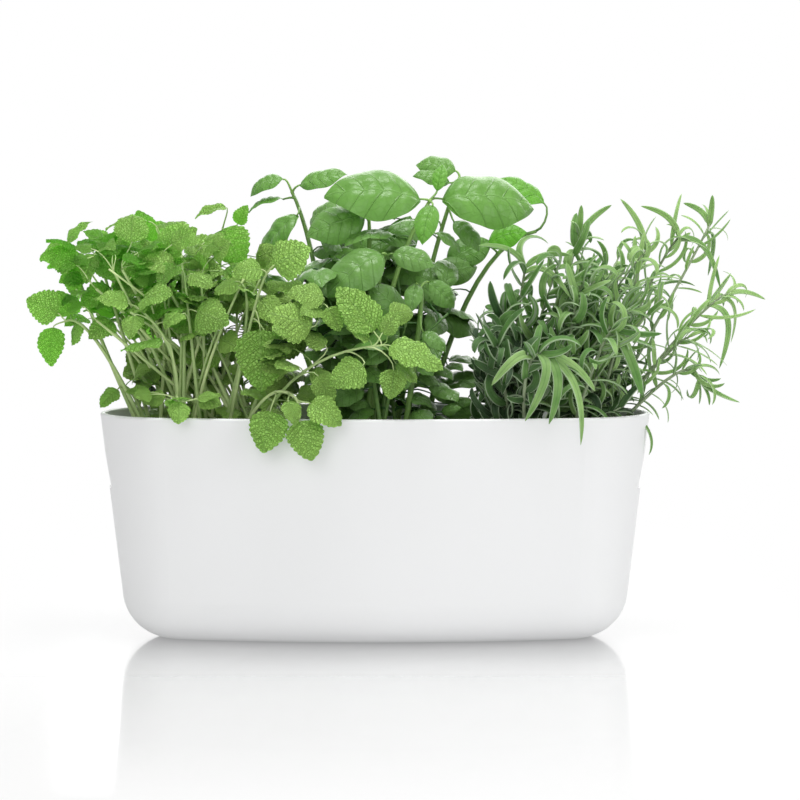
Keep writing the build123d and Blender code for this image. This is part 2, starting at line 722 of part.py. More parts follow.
foliage = {
    "balm_stems": stems_of(balm_shoot_shares, balm_leaf_shares, balm_stem, balm_leafstalk),
    "balm_leaves": leaves_of(balm_blade, balm_leaf_length, balm_leaf_shares, balm_leafstalk),
    "balm_trailing_stems": stems_of(
        trailing_shoot_shares, trailing_leaf_shares, balm_stem, balm_leafstalk
    ),
    "balm_trailing_leaves": leaves_of(
        balm_blade, balm_leaf_length, trailing_leaf_shares, balm_leafstalk
    ),
    "basil_stems": stems_of(basil_shoot_shares, basil_leaf_shares, basil_stem, basil_leafstalk),
    "basil_leaves": leaves_of(basil_blade, basil_leaf_length, basil_leaf_shares, basil_leafstalk),
    "rosemary_stems": stems_of(rosemary_sprig_shares, [], rosemary_stem, rosemary_stem),
    "rosemary_needles": needles_of(
        short_needle, long_needle, rosemary_sprig_shares, long_needle_shares
    ),
}

os.makedirs("parts", exist_ok=True)
export_step(outer_pot.part, "parts/outer_pot.step")
export_step(water_insert.part, "parts/water_insert.step")
for name in herbs:
    wicks[name].label = name + "_wick"
    grow_pots[name].label = name + "_grow_pot"
    soils[name].label = name + "_soil"
    export_step(wicks[name], "parts/" + name + "_wick.step")
    export_step(grow_pots[name], "parts/" + name + "_grow_pot.step")
    export_step(soils[name], "parts/" + name + "_soil.step")

for name, plant in foliage.items():
    plant.label = name
    export_step(plant, "parts/" + name + ".step")
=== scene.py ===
import math
import random
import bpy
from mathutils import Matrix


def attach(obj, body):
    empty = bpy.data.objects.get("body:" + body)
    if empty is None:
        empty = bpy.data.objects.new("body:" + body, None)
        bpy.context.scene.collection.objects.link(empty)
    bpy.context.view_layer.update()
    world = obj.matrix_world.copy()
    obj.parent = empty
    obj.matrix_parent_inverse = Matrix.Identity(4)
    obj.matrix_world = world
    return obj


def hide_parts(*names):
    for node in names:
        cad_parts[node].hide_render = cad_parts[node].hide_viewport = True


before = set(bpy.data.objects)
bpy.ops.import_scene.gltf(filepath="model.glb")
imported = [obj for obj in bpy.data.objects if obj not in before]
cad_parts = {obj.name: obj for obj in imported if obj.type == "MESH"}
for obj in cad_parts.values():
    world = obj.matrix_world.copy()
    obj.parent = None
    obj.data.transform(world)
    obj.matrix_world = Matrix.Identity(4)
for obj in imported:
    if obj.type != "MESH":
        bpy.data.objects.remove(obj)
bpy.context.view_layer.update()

from types import SimpleNamespace

import bpy
import numpy as np
from mathutils import Vector

# The indoor herb planter dressed for rendering, in metres and in the CAD's own frame.
# The planting plan is the one in part.py. It counts in steps, of which the trough's length
# has 550: across from the middle, up from the rim and back, as the photo's viewer sees them.

LENGTH, HEIGHT = 0.370, 0.153
STEP = LENGTH / 550
SIGHT, SLOPE = 1.5, 0.079  # the viewer's distance and the slope of the view
SOIL_TOP, ROOT_DEPTH = 0.1237, 0.001
SOIL_DROP = 44  # from the rim down to the soil, in steps
STOPS = (0.0, 0.33, 0.67, 1.0)
POT_CENTRES = {"balm": -166, "basil": 0, "rosemary": 166}
TINY = 1e-9
FULL_TURN = 6.283

# Lemon balm by shoot: its root (across, back), a place half way up and its tip (across, up, back),
# then its leaves: share of the way up, base, tip and, where it has one, its roll in degrees. Where
# the photo shows a leaf plainly, its look follows: how far the face leans to the front, tone from
# dark to pale, how lime it glows, and its width.
# Painted light and shade: a leaf's tone is dark where the leaf sits in shade and pale where it is lit.
# The looks in basil_plan do the same.
balm_plan = {
    "far left": (((-222, -14), (-279, 85, 0), (-302, 160, 10)), (
        (0.97, (-309, 170, 6), (-336, 153, 0), 0, (0.5, 0.85, 0.5, 0.9)),
        (0.98, (-307, 170, 14), (-284, 192, 20), 0, (0.4, 0.8, 0.2, 0.8)),
        (0.97, (-297, 165, 12), (-276, 170, 22), 20, (0.5, 0.85, 0.5, 0.9)),
        (0.9, (-293, 158, -4), (-316, 144, -18)),
        (0.8, (-303, 140, -4), (-300, 115, -8), 0, (1.4, 0.95, 0.5, 0.9)))),
    "left low": (((-214, -30), (-274, 64, -20), (-310, 90, -24)), (
        (0.95, (-316, 98, -28), (-348, 112, -36), -20, (2.2, 0.8, 0.15, 1.15)),
        (0.85, (-304, 96, -10), (-318, 122, 0), 0, (1.6, 0.7, 0.5, 1)),
        (0.8, (-298, 92, -8), (-304, 66, 2)),
        (0.98, (-322, 84, -20), (-324, 45, -22), 25, (1.7, 0.9, 0.8, 0.85)))),
    "left inner": (((-216, 8), (-255, 85, 4), (-274, 150, -6)), (
        (0.97, (-280, 157, -18), (-288, 129, -36), 0, (1.3, 0.95, 0.1, 0.8)),
        (0.95, (-266, 161, 4), (-290, 181, -6), 10), (0.7, (-264, 124, -10), (-294, 106, -24)),
        (0.45, (-262, 90, -14), (-286, 74, -28)))),
    "left back": (((-205, 30), (-236, 92, 34), (-255, 150, 30)), (
        (0.98, (-256, 170, 24), (-236, 185, 14)), (0.95, (-250, 162, 34), (-226, 166, 40)),
        (0.9, (-244, 148, 22), (-217, 156, 8)), (0.8, (-243, 142, 42), (-266, 124, 58)))),
    "left tall": (((-190, 12), (-212, 90, 6), (-214, 174, 0)), (
        (0.99, (-226, 190, -6), (-269, 184, -14), 0, (0.25, 0.75, 0.1, 0.75)),
        (0.98, (-218, 184, 6), (-188, 191, 14), 0, (0.45, 0.8, 0.1, 0.9)),
        (0.9, (-208, 170, -8), (-190, 178, -20)), (0.8, (-206, 158, 10), (-182, 150, 22)),
        (0.62, (-218, 136, 12), (-240, 122, 26)))),
    "left front": (((-204, -44), (-200, 45, -60), (-240, 106, -58)), (
        (0.97, (-246, 108, -62), (-277, 113, -72), 0, (0.9, 0.6, 0, 1)),
        (0.93, (-232, 112, -62), (-202, 118, -84), 0, (1.1, 0.75, 0.1, 1.1)),
        (0.8, (-240, 96, -66), (-246, 74, -84), 10),
        (0.5, (-212, 72, -76), (-254, 62, -88), 0, (0.4, 1, 0, 0.7)))),
    "centre front": (((-168, -42), (-182, 60, -52), (-190, 138, -48)), (
        (0.98, (-196, 146, -52), (-216, 126, -66), 0, (1, 0.85, 0.5, 1)),
        (0.9, (-182, 138, -58), (-162, 124, -74)),
        (0.72, (-178, 100, -66), (-147, 88, -84), 10, (2.2, 0.85, 0.25, 1.2)),
        (0.6, (-192, 98, -70), (-210, 84, -84)))),
    "centre": (((-180, -10), (-177, 80, -14), (-176, 150, -22)), (
        (0.97, (-184, 154, -24), (-162, 160, -30)), (0.94, (-172, 152, -30), (-190, 164, -36)),
        (0.6, (-170, 110, -24), (-190, 124, -36)))),
    "centre back": (((-150, 34), (-155, 110, 36), (-152, 184, 34)), (
        (0.98, (-149, 204, 28), (-180, 194, 20), 0, (0.5, 0.8, 0.3, 0.9)),
        (0.92, (-152, 182, 24), (-134, 146, 8), 10, (1.6, 0.8, 1, 1.15)),
        (0.9, (-137, 187, 28), (-128, 206, 24), 0, (1.6, 0.8, 1, 1)),
        (0.6, (-164, 122, 40), (-190, 132, 52)))),
    "right": (((-150, -40), (-125, 82, -66), (-107, 138, -78)), (
        (0.97, (-112, 142, -80), (-142, 138, -90), -10, (0.9, 0.7, 0, 0.9)),
        (0.99, (-100, 146, -84), (-64, 164, -88), 0, (2, 0.62, 0, 1.25)),
        (0.6, (-114, 82, -82), (-113, 20, -90), 15, (2, 0.62, 0.75, 1)),
        (0.55, (-108, 78, -76), (-90, 50, -84), 0, (1.3, 0.25, 0.2, 0.9)))),
    "right branch": (((-158, -28), (-130, 75, -48), (-133, 128, -56)),
        ((0.98, (-138, 130, -62), (-160, 120, -72)),)),
    "right low": (((-128, -36), (-78, 34, -88), (8, 66, -104)), (
        (0.99, (0, 80, -104), (-36, 126, -98), 0, (1.9, 0.8, 0.35, 0.85)),
        (0.95, (8, 78, -102), (24, 100, -96), 0, (1.4, 0.65, 0, 1)),
        (0.98, (16, 66, -108), (70, 42, -112), 0, (1.1, 0.6, 0.1, 0.75)),
        (0.8, (-10, 46, -116), (-44, 28, -122), 15, (2.6, 0.72, 0.25, 1.2)),
        (0.92, (20, 42, -108), (16, 12, -110), 0, (2.2, 0.65, 0.1, 1.05)),
        (0.45, (-56, 36, -106), (-40, 10, -104), 10, (1.6, 0.35, 0, 1)),
        (0.55, (-48, 66, -96), (-74, 82, -92)))),
    "right middle": (((-136, -44), (-92, 72, -68), (-52, 108, -92)), (
        (0.9, (-62, 84, -106), (-104, 100, -114), 0, (2, 0.2, 0, 1.15)),
        (0.98, (-50, 114, -98), (-86, 120, -104), 0, (1.6, 0.35, 0, 1)),
        (0.96, (-46, 104, -100), (-34, 80, -106)), (0.8, (-70, 122, -88), (-98, 124, -84)))),
    "over rim": (((-142, -50), (-108, 14, -92), (-74, 8, -114)), (
        (0.6, (-104, 0, -118), (-112, -42, -122), 10, (1.9, 0.6, 0.3, 1.15)),
        (0.9, (-74, -10, -120), (-62, -50, -124), 0, (2, 0.5, 0.1, 1.1)),
        (0.95, (-64, 8, -118), (-32, -14, -122), 0, (1.6, 0.4, 0.1, 1)),
        (0.8, (-86, 10, -124), (-78, -14, -132)))),
    "rim left": (((-192, -46), (-200, 4, -72), (-196, 12, -92)),
        ((0.98, (-196, 10, -96), (-196, -12, -112)),)),
    "end": (((-220, 6), (-240, 12, -6), (-256, 24, -8)), (
        (0.95, (-258, 22, -12), (-276, 4, -20)), (0.6, (-242, 20, -14), (-224, 30, -24)))),
    "back left": (((-196, 48), (-216, 70, 62), (-236, 112, 74)), (
        (0.98, (-242, 116, 80), (-268, 108, 92)), (0.95, (-228, 118, 82), (-206, 132, 92)),
        (0.7, (-226, 92, 78), (-232, 66, 96)))),
    "back": (((-160, 56), (-165, 80, 70), (-186, 128, 78)), (
        (0.98, (-190, 134, 84), (-214, 148, 94)), (0.9, (-178, 124, 84), (-180, 96, 102)))),
}
basil_plan = {
    "left": (((-34, 34), (-58, 130, 72), (-84, 220, 88)), (
        (0.99, (-92, 232, 88), (-127, 218, 92), 0, (0.9, 0.5, 0.1, 1)),
        (0.97, (-76, 226, 82), (-29, 238, 70), 0, (0.8, 0.45, 0.1, 0.9)),
        (0.92, (-92, 212, 92), (-128, 202, 96), 30, (0.7, 0.35, 0.5, 1)),
        (0.84, (-78, 196, 60), (-116, 152, 71), 10, (0.9, 0.4, 0.1, 0.95)))),
    "middle": (((-12, -22), (14, 110, -18), (56, 212, -10)), (
        (0.98, (46, 212, -14), (-50, 216, -26), 10, (1.7, 0.5, 0.15, 1)),
        (0.98, (68, 212, 2), (160, 205, 36), 0, (1.7, 0.5, 0.15, 1)),
        (0.99, (62, 220, -4), (68, 247, 4), 0, (2, 0.95, 0.5, 0.8)),
        (0.97, (58, 206, -22), (48, 168, -42), 0, (2.4, 0.95, 0.5, 0.85)),
        (0.8, (60, 178, 6), (86, 160, 12)))),
    "middle left": (((-20, 8), (-8, 110, 4), (-6, 194, -2)), (
        (0.98, (-10, 196, -10), (-68, 176, -24), 0, (1.7, 0.4, 0.05, 1.05)),
        (0.8, (4, 172, 4), (42, 172, 12)))),
    "back right": (((16, 36), (52, 130, 44), (84, 234, 46)), (
        (0.99, (80, 240, 50), (40, 248, 56), 0, (1.7, 0.34, 0.1, 1.1)),
        (0.95, (74, 228, 36), (38, 236, 28), 0, (1, 0.5, 0, 0.9)),
        (0.8, (78, 190, 36), (104, 160, 30)))),
    "right": (((44, 40), (96, 120, 80), (160, 180, 88)), (
        (0.99, (168, 208, 90), (120, 236, 94), 30, (1.6, 0.5, 1, 1)),
        (0.7, (112, 168, 74), (150, 180, 64), 20, (1.2, 0.6, 0.9, 1)))),
    "dark": (((-2, -4), (0, 90, -30), (12, 156, -38)), (
        (0.98, (8, 158, -46), (-48, 118, -66), 0, (1.6, 0.22, 0, 1.05)),
        (0.9, (18, 158, -46), (60, 146, -52), 0, (1.4, 0.15, 0, 1)),
        (0.7, (-8, 110, -44), (-40, 84, -56)))),
    "front": (((26, -20), (44, 80, -36), (46, 122, -40)), (
        (0.98, (42, 128, -50), (36, 100, -66), 0, (1.7, 0.2, 0, 0.9)),
        (0.95, (54, 130, -34), (80, 104, -26), 0, (1.8, 0.3, 0, 1)),
        (0.6, (48, 80, -48), (72, 60, -58)))),
    "far left": (((-44, 30), (-80, 80, 72), (-128, 130, 92)), (
        (0.98, (-134, 138, 98), (-166, 96, 104)), (0.85, (-108, 136, 78), (-84, 108, 66)),
        (0.98, (-124, 132, 104), (-92, 124, 118)))),
    "back": (((0, 50), (6, 80, 78), (22, 150, 88)), (
        (0.98, (14, 158, 96), (-34, 142, 112)), (0.96, (32, 150, 96), (78, 130, 108)),
        (0.7, (8, 104, 94), (-10, 76, 112)))),
}
# Rosemary sprigs: a shoot's three places, its number of planned needles and their relative length.
sprigs = {
    "high": ((172, -6), (188, 100, -12), (204, 176, -12), 8, 1),
    "star left": ((128, -24), (142, 80, -36), (151, 146, -34), 7, 1.2),
    "tall": ((212, -10), (250, 95, -18), (272, 164, -16), 9, 1),
    "arc": ((212, 20), (262, 100, 26), (304, 176, 22), 6, 1.2),
    "far star": ((210, 30), (292, 108, 40), (334, 188, 36), 6, 0.9),
    "far right": ((212, 2), (298, 68, 6), (352, 118, 8), 7, 1.1),
    "tendril": ((214, -20), (296, 34, -20), (326, 28, -24), 6, 1),
    "big front": ((150, -48), (152, 34, -84), (172, 58, -100), 5, 1.1),
    "front right": ((186, -44), (226, 60, -76), (244, 78, -84), 7, 1.1),
    "middle": ((172, -34), (196, 76, -56), (202, 112, -58), 9, 1),
    "middle right": ((196, -24), (232, 64, -40), (250, 100, -44), 9, 1),
    "left low": ((138, -44), (128, 40, -66), (122, 66, -74), 7, 1),
    "left dark": ((146, -12), (134, 60, -30), (128, 98, -34), 7, 1),
    "back": ((194, 46), (206, 96, 68), (214, 138, 66), 8, 1),
    "back right": ((198, 44), (246, 80, 52), (274, 122, 60), 8, 1),
    "right": ((206, -8), (280, 44, -10), (314, 74, -12), 8, 1),
}
# Long needles by sprig: share of the way up and the needle's tip.
long_needles = {
    "big front": ((0.97, (208, -34, -126)), (0.86, (152, -10, -118)), (0.92, (176, -13, -124)),
        (0.99, (222, 20, -104)), (0.74, (118, 26, -100))),
    "star left": ((0.98, (104, 166, -46)), (0.96, (196, 156, -46)), (0.9, (196, 114, -64))),
    "front right": ((0.97, (269, 16, -108)),),
    "tendril": ((0.98, (366, 9, -30)),),
    "far right": ((0.98, (390, 112, 4)), (0.92, (356, 69, 16)), (0.8, (345, 43, -8))),
    "arc": ((0.98, (265, 205, 10)), (0.96, (345, 123, 4))),
    "far star": ((0.98, (307, 208, 44)), (0.96, (336, 216, 26)), (0.9, (332, 136, 60))),
    "high": ((0.98, (236, 206, -18)), (0.95, (206, 206, -26))),
    "tall": ((0.95, (245, 212, -20)),),
}

# Room for lifting: how high a lifted grow pot's lip reaches, how near its axis nothing may be, and
# where the basil and the rosemary end
LIFTED_TOP, LIFT_ROOM = 0.281, 0.0555
NEIGHBOURS = {"balm": (0,), "basil": (-0.112, 0.112)}
ROSEMARY_FRONT, ROSEMARY_LEFT_BEHIND, ROSEMARY_LEFT_BEFORE = -0.003, 0.126, 0.062
BASIL_RIGHT_BEFORE, BASIL_BACK_RIGHT, BASIL_RIGHT_BEHIND = 0.06, 0.006, 0.124
BASIL_LEFT, BASIL_BACK_LEFT = -0.072, 0.05

# Room over the rim for leaves and needles that reach past the wall
RIM_ROOM, RIM_HALF = 0.004, 0.056
NEEDLE_RIM_ROOM, NEEDLE_RIM_HALF = 0.003, 0.058

# Stems and stalks
TUBE_SIDE = (0.3, 1, 0.2)
BALM_STALK = 0.0006
STALK_OVERLAP = 0.0006
STALK_RISE, STALK_ARRIVAL = 0.35, 0.3
STALK_ROWS, STALK_TAPER = 6, 0.62
USUAL_STALK, LONGEST_STALK = 0.01, 0.034
FEET, FIRST_FOOT = 14, 0.25  # stalk feet on each stem, and the share of the way up to the first
FORWARD = np.array((0, -0.002, 0))

# The forms of a blade: outline as half widths along it, points along and across, and then
# relief and the ranges for single leaves, in shares of the length
BLADES = {
    "balm": SimpleNamespace(
        edge_at=np.array((0, 0.03, 0.1, 0.2, 0.32, 0.46, 0.6, 0.74, 0.86, 0.95, 1)),
        edge_half=np.array((0.02, 0.17, 0.31, 0.39, 0.415, 0.385, 0.335, 0.255, 0.165, 0.075, 0.006)),
        fine_grid=(41, 13), plain_grid=(25, 9), teeth=8, dome=0.10 / 0.36, slant=0.34, veins=7,
        pillow=0.034, groove=0.026, groove_width=0.03, ripple=0.035, grain=0.009, side_lean=0.15,
        widths=(0.95, 1.06), arch=(0.02, 0.12), fold=(-0.2, 0.3), roll=10, curl=(0, 0.14)),
    "basil": SimpleNamespace(
        edge_at=np.array((0, 0.04, 0.12, 0.24, 0.38, 0.52, 0.66, 0.79, 0.89, 0.96, 1)),
        edge_half=np.array((0.015, 0.09, 0.19, 0.27, 0.31, 0.315, 0.28, 0.21, 0.13, 0.055, 0.004)),
        fine_grid=(29, 13), plain_grid=(19, 9), teeth=0, dome=0.46 / 0.36, slant=0.26, veins=5,
        pillow=0.036, groove=0.03, groove_width=0.025, ripple=0.022, grain=0, side_lean=0.1,
        widths=None, arch=(0.1, 0.17), fold=(0, 0.22), roll=5, curl=(0.03, 0.14)),
}
EDGE_CROWDING = 0.85
TOOTH_PACE, TOOTH_START, TOOTH_ROUND = 1.06, 0.15, 0.7
TOOTH_ZONE, TOOTH_GROWTH = 0.7, 1.5
TOOTHLESS_BASE, TOOTHLESS_TIP, TIP_TOOTH = 0.08, 0.06, 0.25
TOOTH_MIDDLE, TOOTH_DEPTH, TOOTH_LEAN = 0.45, 0.052, 0.012
PILLOW_START, PILLOW_END, PILLOW_ROUND = 0.1, 0.12, 0.7
GROOVE_END = 3
EDGE_WAVES, RIPPLE_TURN, RIPPLE_GROWTH = (1.6, 2.6), 6.28, 2.2
SIDE_BEND = 0.144

# A rosemary needle: its section as shares of half its width and thickness, then its taper
NEEDLE_RING = np.array((
    (-1.00, -0.1), (-0.86, 0.34), (-0.45, 0.52), (-0.1, 0.26), (0.1, 0.26), (0.45, 0.52),
    (0.86, 0.34), (1.00, -0.1), (0.8, -0.42), (0.48, -0.34), (0.3, -0.02), (0.1, -0.02),
    (0, -0.2), (-0.1, -0.02), (-0.3, -0.02), (-0.48, -0.34), (-0.8, -0.42)))
NEEDLE_TWIST = 0.6
NEEDLE_NECK, NEEDLE_OPENING, NEEDLE_NARROWING, NEEDLE_POINT = 0.36, 4, 0.18, 0.03
NEEDLE_THICKNESS, NEEDLE_LEAST = 0.55, 0.00018

# Rosemary needles on a sprig, with angles in degrees
NEEDLES_SHOWN = 3.2  # for each needle planned in part.py
NEEDLE_ROWS, FIRST_NEEDLE = 15, 0.14
GOLDEN_ANGLE, NEEDLE_ANGLE, NEEDLE_CLOSING = 137.5, 66, 34
SPRIG_SIDE = (0.1, 1, 0.05)
NEEDLE_LENGTH, NEEDLE_WIDTH, NEEDLE_WIDTH_LOSS = 0.031, 0.0058, 0.0026
NARROW_START, NARROW_RUN = 0.14, 0.06
FRONT_NEEDLES = -0.05  # long needles that end before this place are the wide ones
LIGHT_FACE = np.array((0, -1.2, 1))

# Unplanned shoots: number and the room of their tips across, up and back; for rosemary also the needles'
# tone, or None where it follows from the place. The given rosemary tones are low: painted shade for the
# low, the left and the back sprigs.
MORE_BALM = (
    (12, (-300, -215), (95, 160), (-50, 50)), (12, (-225, -130), (90, 160), (-60, 60)),
    (16, (-280, -110), (90, 150), (-66, -30)))
MORE_ROSEMARY = (
    (10, (118, 200), (35, 120), (-70, -5), None), (16, (180, 290), (80, 190), (-60, 50), None),
    (12, (110, 250), (-4, 50), (-60, 50), 0.12), (12, (96, 150), (-8, 70), (-66, -14), 0),
    (12, (185, 255), (30, 130), (0, 66), 0.05))

# Unplanned leaves: number, room across, up and back, sizes, tones and the lime of the odd one. The tones
# paint in light and shade: dark for the shaded leaves low down, behind and inside, pale for the lit
# leaves on the left.
BALM_FILL = (
    (60, (-312, -225), (90, 172), (-45, 50), (0.011, 0.024), (0.8, 1.5), 0.6),
    (80, (-255, -150), (90, 172), (-55, 70), (0.013, 0.027), (0.25, 1.3), 0.5),
    (54, (-190, -112), (50, 160), (-45, 60), (0.014, 0.028), (0, 0.4), 0.2),
    (90, (-250, -80), (-16, 40), (-20, 70), (0.01, 0.023), (-0.15, 0.1), 0),
    (60, (-235, -82), (30, 135), (15, 74), (0.018, 0.03), (-0.2, 0.05), 0),
    (26, (-105, 25), (30, 110), (-104, -70), (0.014, 0.024), (0.05, 0.5), 0),
    (16, (-235, -60), (-2, 20), (-92, -62), (0.009, 0.018), (0.3, 0.8), 0.3))
BASIL_FILL = (
    (60, (-60, 108), (50, 150), (-45, 70), (0.024, 0.042), (-0.1, 0.15), 0),
    (40, (-75, 125), (120, 205), (-20, 74), (0.028, 0.046), (0, 0.4), 0.3),
    (64, (-66, 100), (20, 150), (30, 74), (0.03, 0.046), (-0.2, 0), 0),
    (70, (-60, 95), (-16, 60), (-48, 66), (0.014, 0.03), (-0.15, 0.05), 0))

# Painted light: left of this place the leaves stand in the open, and their tone is raised so they come
# out paler, standing for the stronger light they catch there.
LIT_SIDE, LIT_GAIN, LIT_LIFT = -0.125, 1.6, 0.1

# The leaf finishes: colours, how glossy they are, their veins, quilting and glow, a pale painted sheen,
# and the painted shade in the creases and along the side veins
LEAF_FINISHES = {
    "balm": SimpleNamespace(
        dark=(0.002, 0.02, 0.004), mid=(0.046, 0.17, 0.01), light=(0.44, 0.82, 0.13),
        vein=(0.3, 0.5, 0.2), glow=(0.2, 0.62, 0.05), rough=0.46, specular=0.2, glow_share=0.342,
        veins=7, slant=0.3, side_vein_width=0.085, mid_vein_width=0.075, side_vein_shade=0.25,
        cells=17, crease_shade=0.85, painted_sheen=0.42, quilt=0.6, bump=1),
    "basil": SimpleNamespace(
        dark=(0.001, 0.01, 0.003), mid=(0.016, 0.072, 0.006), light=(0.14, 0.34, 0.04),
        vein=(0.2, 0.4, 0.12), glow=(0.15, 0.55, 0.03), rough=0.32, specular=0.3, glow_share=0.144,
        veins=5, slant=0.22, side_vein_width=0.05, mid_vein_width=0.05, side_vein_shade=0.7,
        cells=12, crease_shade=0.15, painted_sheen=0.1, quilt=0.12, bump=0.6),
}
LEAF_SLIMNESS, CREASE_WIDTH, LEAF_BUMP = 0.42, 0.16, 0.0012
LEAF_TONE_SHARE, LEAF_TONE_SPREAD = 0.95, 0.34
LIME, LIME_SHARE = (0.16, 0.46, 0.02), 0.7
# The pale colour of the painted sheen on the leaves
PAINTED_SHEEN = (0.5, 0.66, 0.38)
# Painted shade: how dark the creases and the side veins are painted, as shares of the mid green
CREASE_DARK, SIDE_VEIN_DARK, MID_VEIN_SHARE, VEIN_DEPTH = 0.22, 0.35, 0.6, 0.7
BACK_SHARE, BACK_GAIN, BACK_LIFT = 0.55, 1.25, 0.05
GLOW_CREASE, GLOW_CREASE_DARK, GLOW_VEIN, GLOW_VEIN_DARK = 0.3, 0.6, 0.5, 0.75
GLOW_LIME, GLOW_LEAST = 0.3, 0.02

# The other finishes
MOTTLING, GRAIN_GLOSS = 0.98, 0.08
STEM_GLOW, NEEDLE_GLOW_SHARE = 0.25, 0.28
NEEDLE_GREENS = ((0, (0.004, 0.024, 0.01)), (0.4, (0.11, 0.27, 0.05)), (1, (0.55, 0.8, 0.3)))
NEEDLE_GRAIN, GRAIN_SHARE = (0.34, 0.48, 0.26), 0.25
NEEDLE_GROOVE, GROOVE_WIDTH, GROOVE_SHARE = (0.02, 0.08, 0.02), 0.16, 0.35
NEEDLE_RIM, RIM_START, RIM_WIDTH, RIM_SHARE = (0.6, 0.74, 0.5), 0.78, 0.1, 0.75
NEEDLE_UNDERSIDE, UNDERSIDE_SHARE = (0.46, 0.56, 0.4), 0.75
UNDERSIDE_TOP, UNDERSIDE_HALF = 0.05, 0.4
NEEDLE_GLOW = (0.25, 0.62, 0.1)
SOIL_BROWNS = ((0.2, (0.006, 0.004, 0.003)), (0.6, (0.035, 0.022, 0.014)), (1, (0.12, 0.08, 0.05)))
FELT_DARK, FELT_PALE = (0.42, 0.4, 0.36), (0.74, 0.72, 0.66)
WHITE = (1, 1, 1)

# The floor's brightness, its faint glow, which is painted light that lightens the pot's shadow on the
# floor, its mirror image and where it turns as white as the world
FLOOR_GREY, FLOOR_LIFT = 0.64, 0.20
MIRROR_EDGE, MIRROR_START, MIRROR_RUN = -0.05, 0.03, 0.36
MIRROR_CURVE, MIRROR_SHARE = 0.9, 0.78
FLOOR_HALF, FLOOR_EDGE, FLOOR_RADIUS, FLOOR_FADE = 0.19, 0.12, 0.34, 0.3
WORLD_LIGHT = 0.29

# The camera, with its tilt down in degrees
EYE_ACROSS, EYE_DISTANCE, EYE_HEIGHT, EYE_TILT = 0.0168, 1.5, 0.271, 4.21


def draw(rng, *ranges):
    """One random number from each range."""
    return [rng.uniform(*each) for each in ranges]


def clamp(value, low=0, high=1):
    return min(high, max(low, value))


def unit(v):
    return v / max(float(np.linalg.norm(v)), TINY)


def spot(across, rise, depth):
    """A place of the planting plan, in metres."""
    far = depth * STEP
    spread = 1 + far / SIGHT
    return np.array((across * STEP * spread, far, HEIGHT + rise * STEP * spread - far * SLOPE))


def shoot_curve(shoot):
    """Root, pull and tip of the curve that a shoot follows."""
    root = np.array((shoot[0][0] * STEP, shoot[0][1] * STEP, SOIL_TOP - ROOT_DEPTH))
    middle, tip = spot(*shoot[1]), spot(*shoot[2])
    return root, middle * 2 - (root + tip) * 0.5, tip


def on_curve(curve, t):
    root, pull, tip = curve
    return root * (1 - t) ** 2 + pull * (2 * t * (1 - t)) + tip * t * t


def along_curve(curve, count, first=0):
    return np.array([on_curve(curve, t) for t in np.linspace(first, 1, count)])


def shoot_place(shoot, t):
    """Point at a share of the way up a shoot, as the plan counts it."""
    runs = len(STOPS) - 1
    index = min(int(t * runs), runs - 1)
    inside = STOPS[index] + (STOPS[index + 1] - STOPS[index]) * (t * runs - index)
    return on_curve(shoot_curve(shoot), inside)


def shoot_run(shoot, t, reach=0.04):
    """Direction of a shoot at a share of the way up."""
    return unit(shoot_place(shoot, min(t + reach, 1)) - shoot_place(shoot, max(t - reach, 0)))


def placed(name, data):
    """New object in the scene."""
    ob = bpy.data.objects.new(name, data)
    bpy.context.scene.collection.objects.link(ob)
    return ob


def aim(ob, place, target):
    ob.location = place
    ob.rotation_euler = (Vector(target) - Vector(place)).to_track_quat("-Z", "Y").to_euler()


class Cloth:
    """Gathers grids of points into one mesh, each with a place on its piece and a tone."""

    def __init__(self):
        self.points, self.faces, self.places, self.tones = [], [], [], []
        self.ends = []
        self.count = 0

    def grid(self, points, places, tone, closed=False):
        """Adds rows of points; a closed grid is a tube, with its two ends shut."""
        rows, cols = points.shape[:2]
        index = np.arange(rows * cols).reshape(rows, cols) + self.count
        following = np.roll(index, -1, 1) if closed else index[:, 1:]
        here = index if closed else index[:, :-1]
        quads = np.stack([here[:-1], following[:-1], following[1:], here[1:]], -1)
        self.faces.append(quads.reshape(-1, 4))
        self.points.append(points.reshape(-1, 3))
        self.places.append(places.reshape(-1, 3))
        self.tones.append(np.tile(np.array((*tone, 0)), (rows * cols, 1)))
        if closed:
            self.ends += [index[0, ::-1], index[-1]]
        self.count += rows * cols

    def build(self, name, material, body, nodes, slot):
        quads = np.concatenate(self.faces)
        corners = np.concatenate([quads.reshape(-1), *self.ends])
        sizes = [4] * len(quads) + [len(end) for end in self.ends]
        mesh = bpy.data.meshes.new(name)
        mesh.vertices.add(self.count)
        mesh.vertices.foreach_set("co", flat(self.points))
        mesh.loops.add(len(corners))
        mesh.loops.foreach_set("vertex_index", corners.astype(np.int32))
        mesh.polygons.add(len(sizes))
        starts = np.concatenate([[0], np.cumsum(sizes)[:-1]])
        mesh.polygons.foreach_set("loop_start", starts.astype(np.int32))
        mesh.update(calc_edges=True)
        mesh.validate()
        for attribute, values in (("place", self.places), ("tone", self.tones)):
            layer = mesh.attributes.new(attribute, "FLOAT_VECTOR", "POINT")
            layer.data.foreach_set("vector", flat(values))
        mesh.shade_smooth()
        mesh.materials.append(material)
        ob = placed(name, mesh)
        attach(ob, body)
        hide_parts(*nodes)


def flat(arrays):
    return np.concatenate(arrays).astype(np.float32).reshape(-1)


def runs_along(points):
    """Directions along a line of points."""
    runs = np.gradient(points, axis=0)
    return runs / np.maximum(np.linalg.norm(runs, axis=1, keepdims=True), TINY)


def frames_along(points):
    """A steady pair of directions across a line of points, at each of them."""
    runs = runs_along(points)
    side = unit(np.cross(runs[0], TUBE_SIDE))
    sides = []
    for run in runs:
        side = unit(side - run * side.dot(run))
        sides.append(side)
    sides = np.array(sides)
    return sides, np.cross(runs, sides)


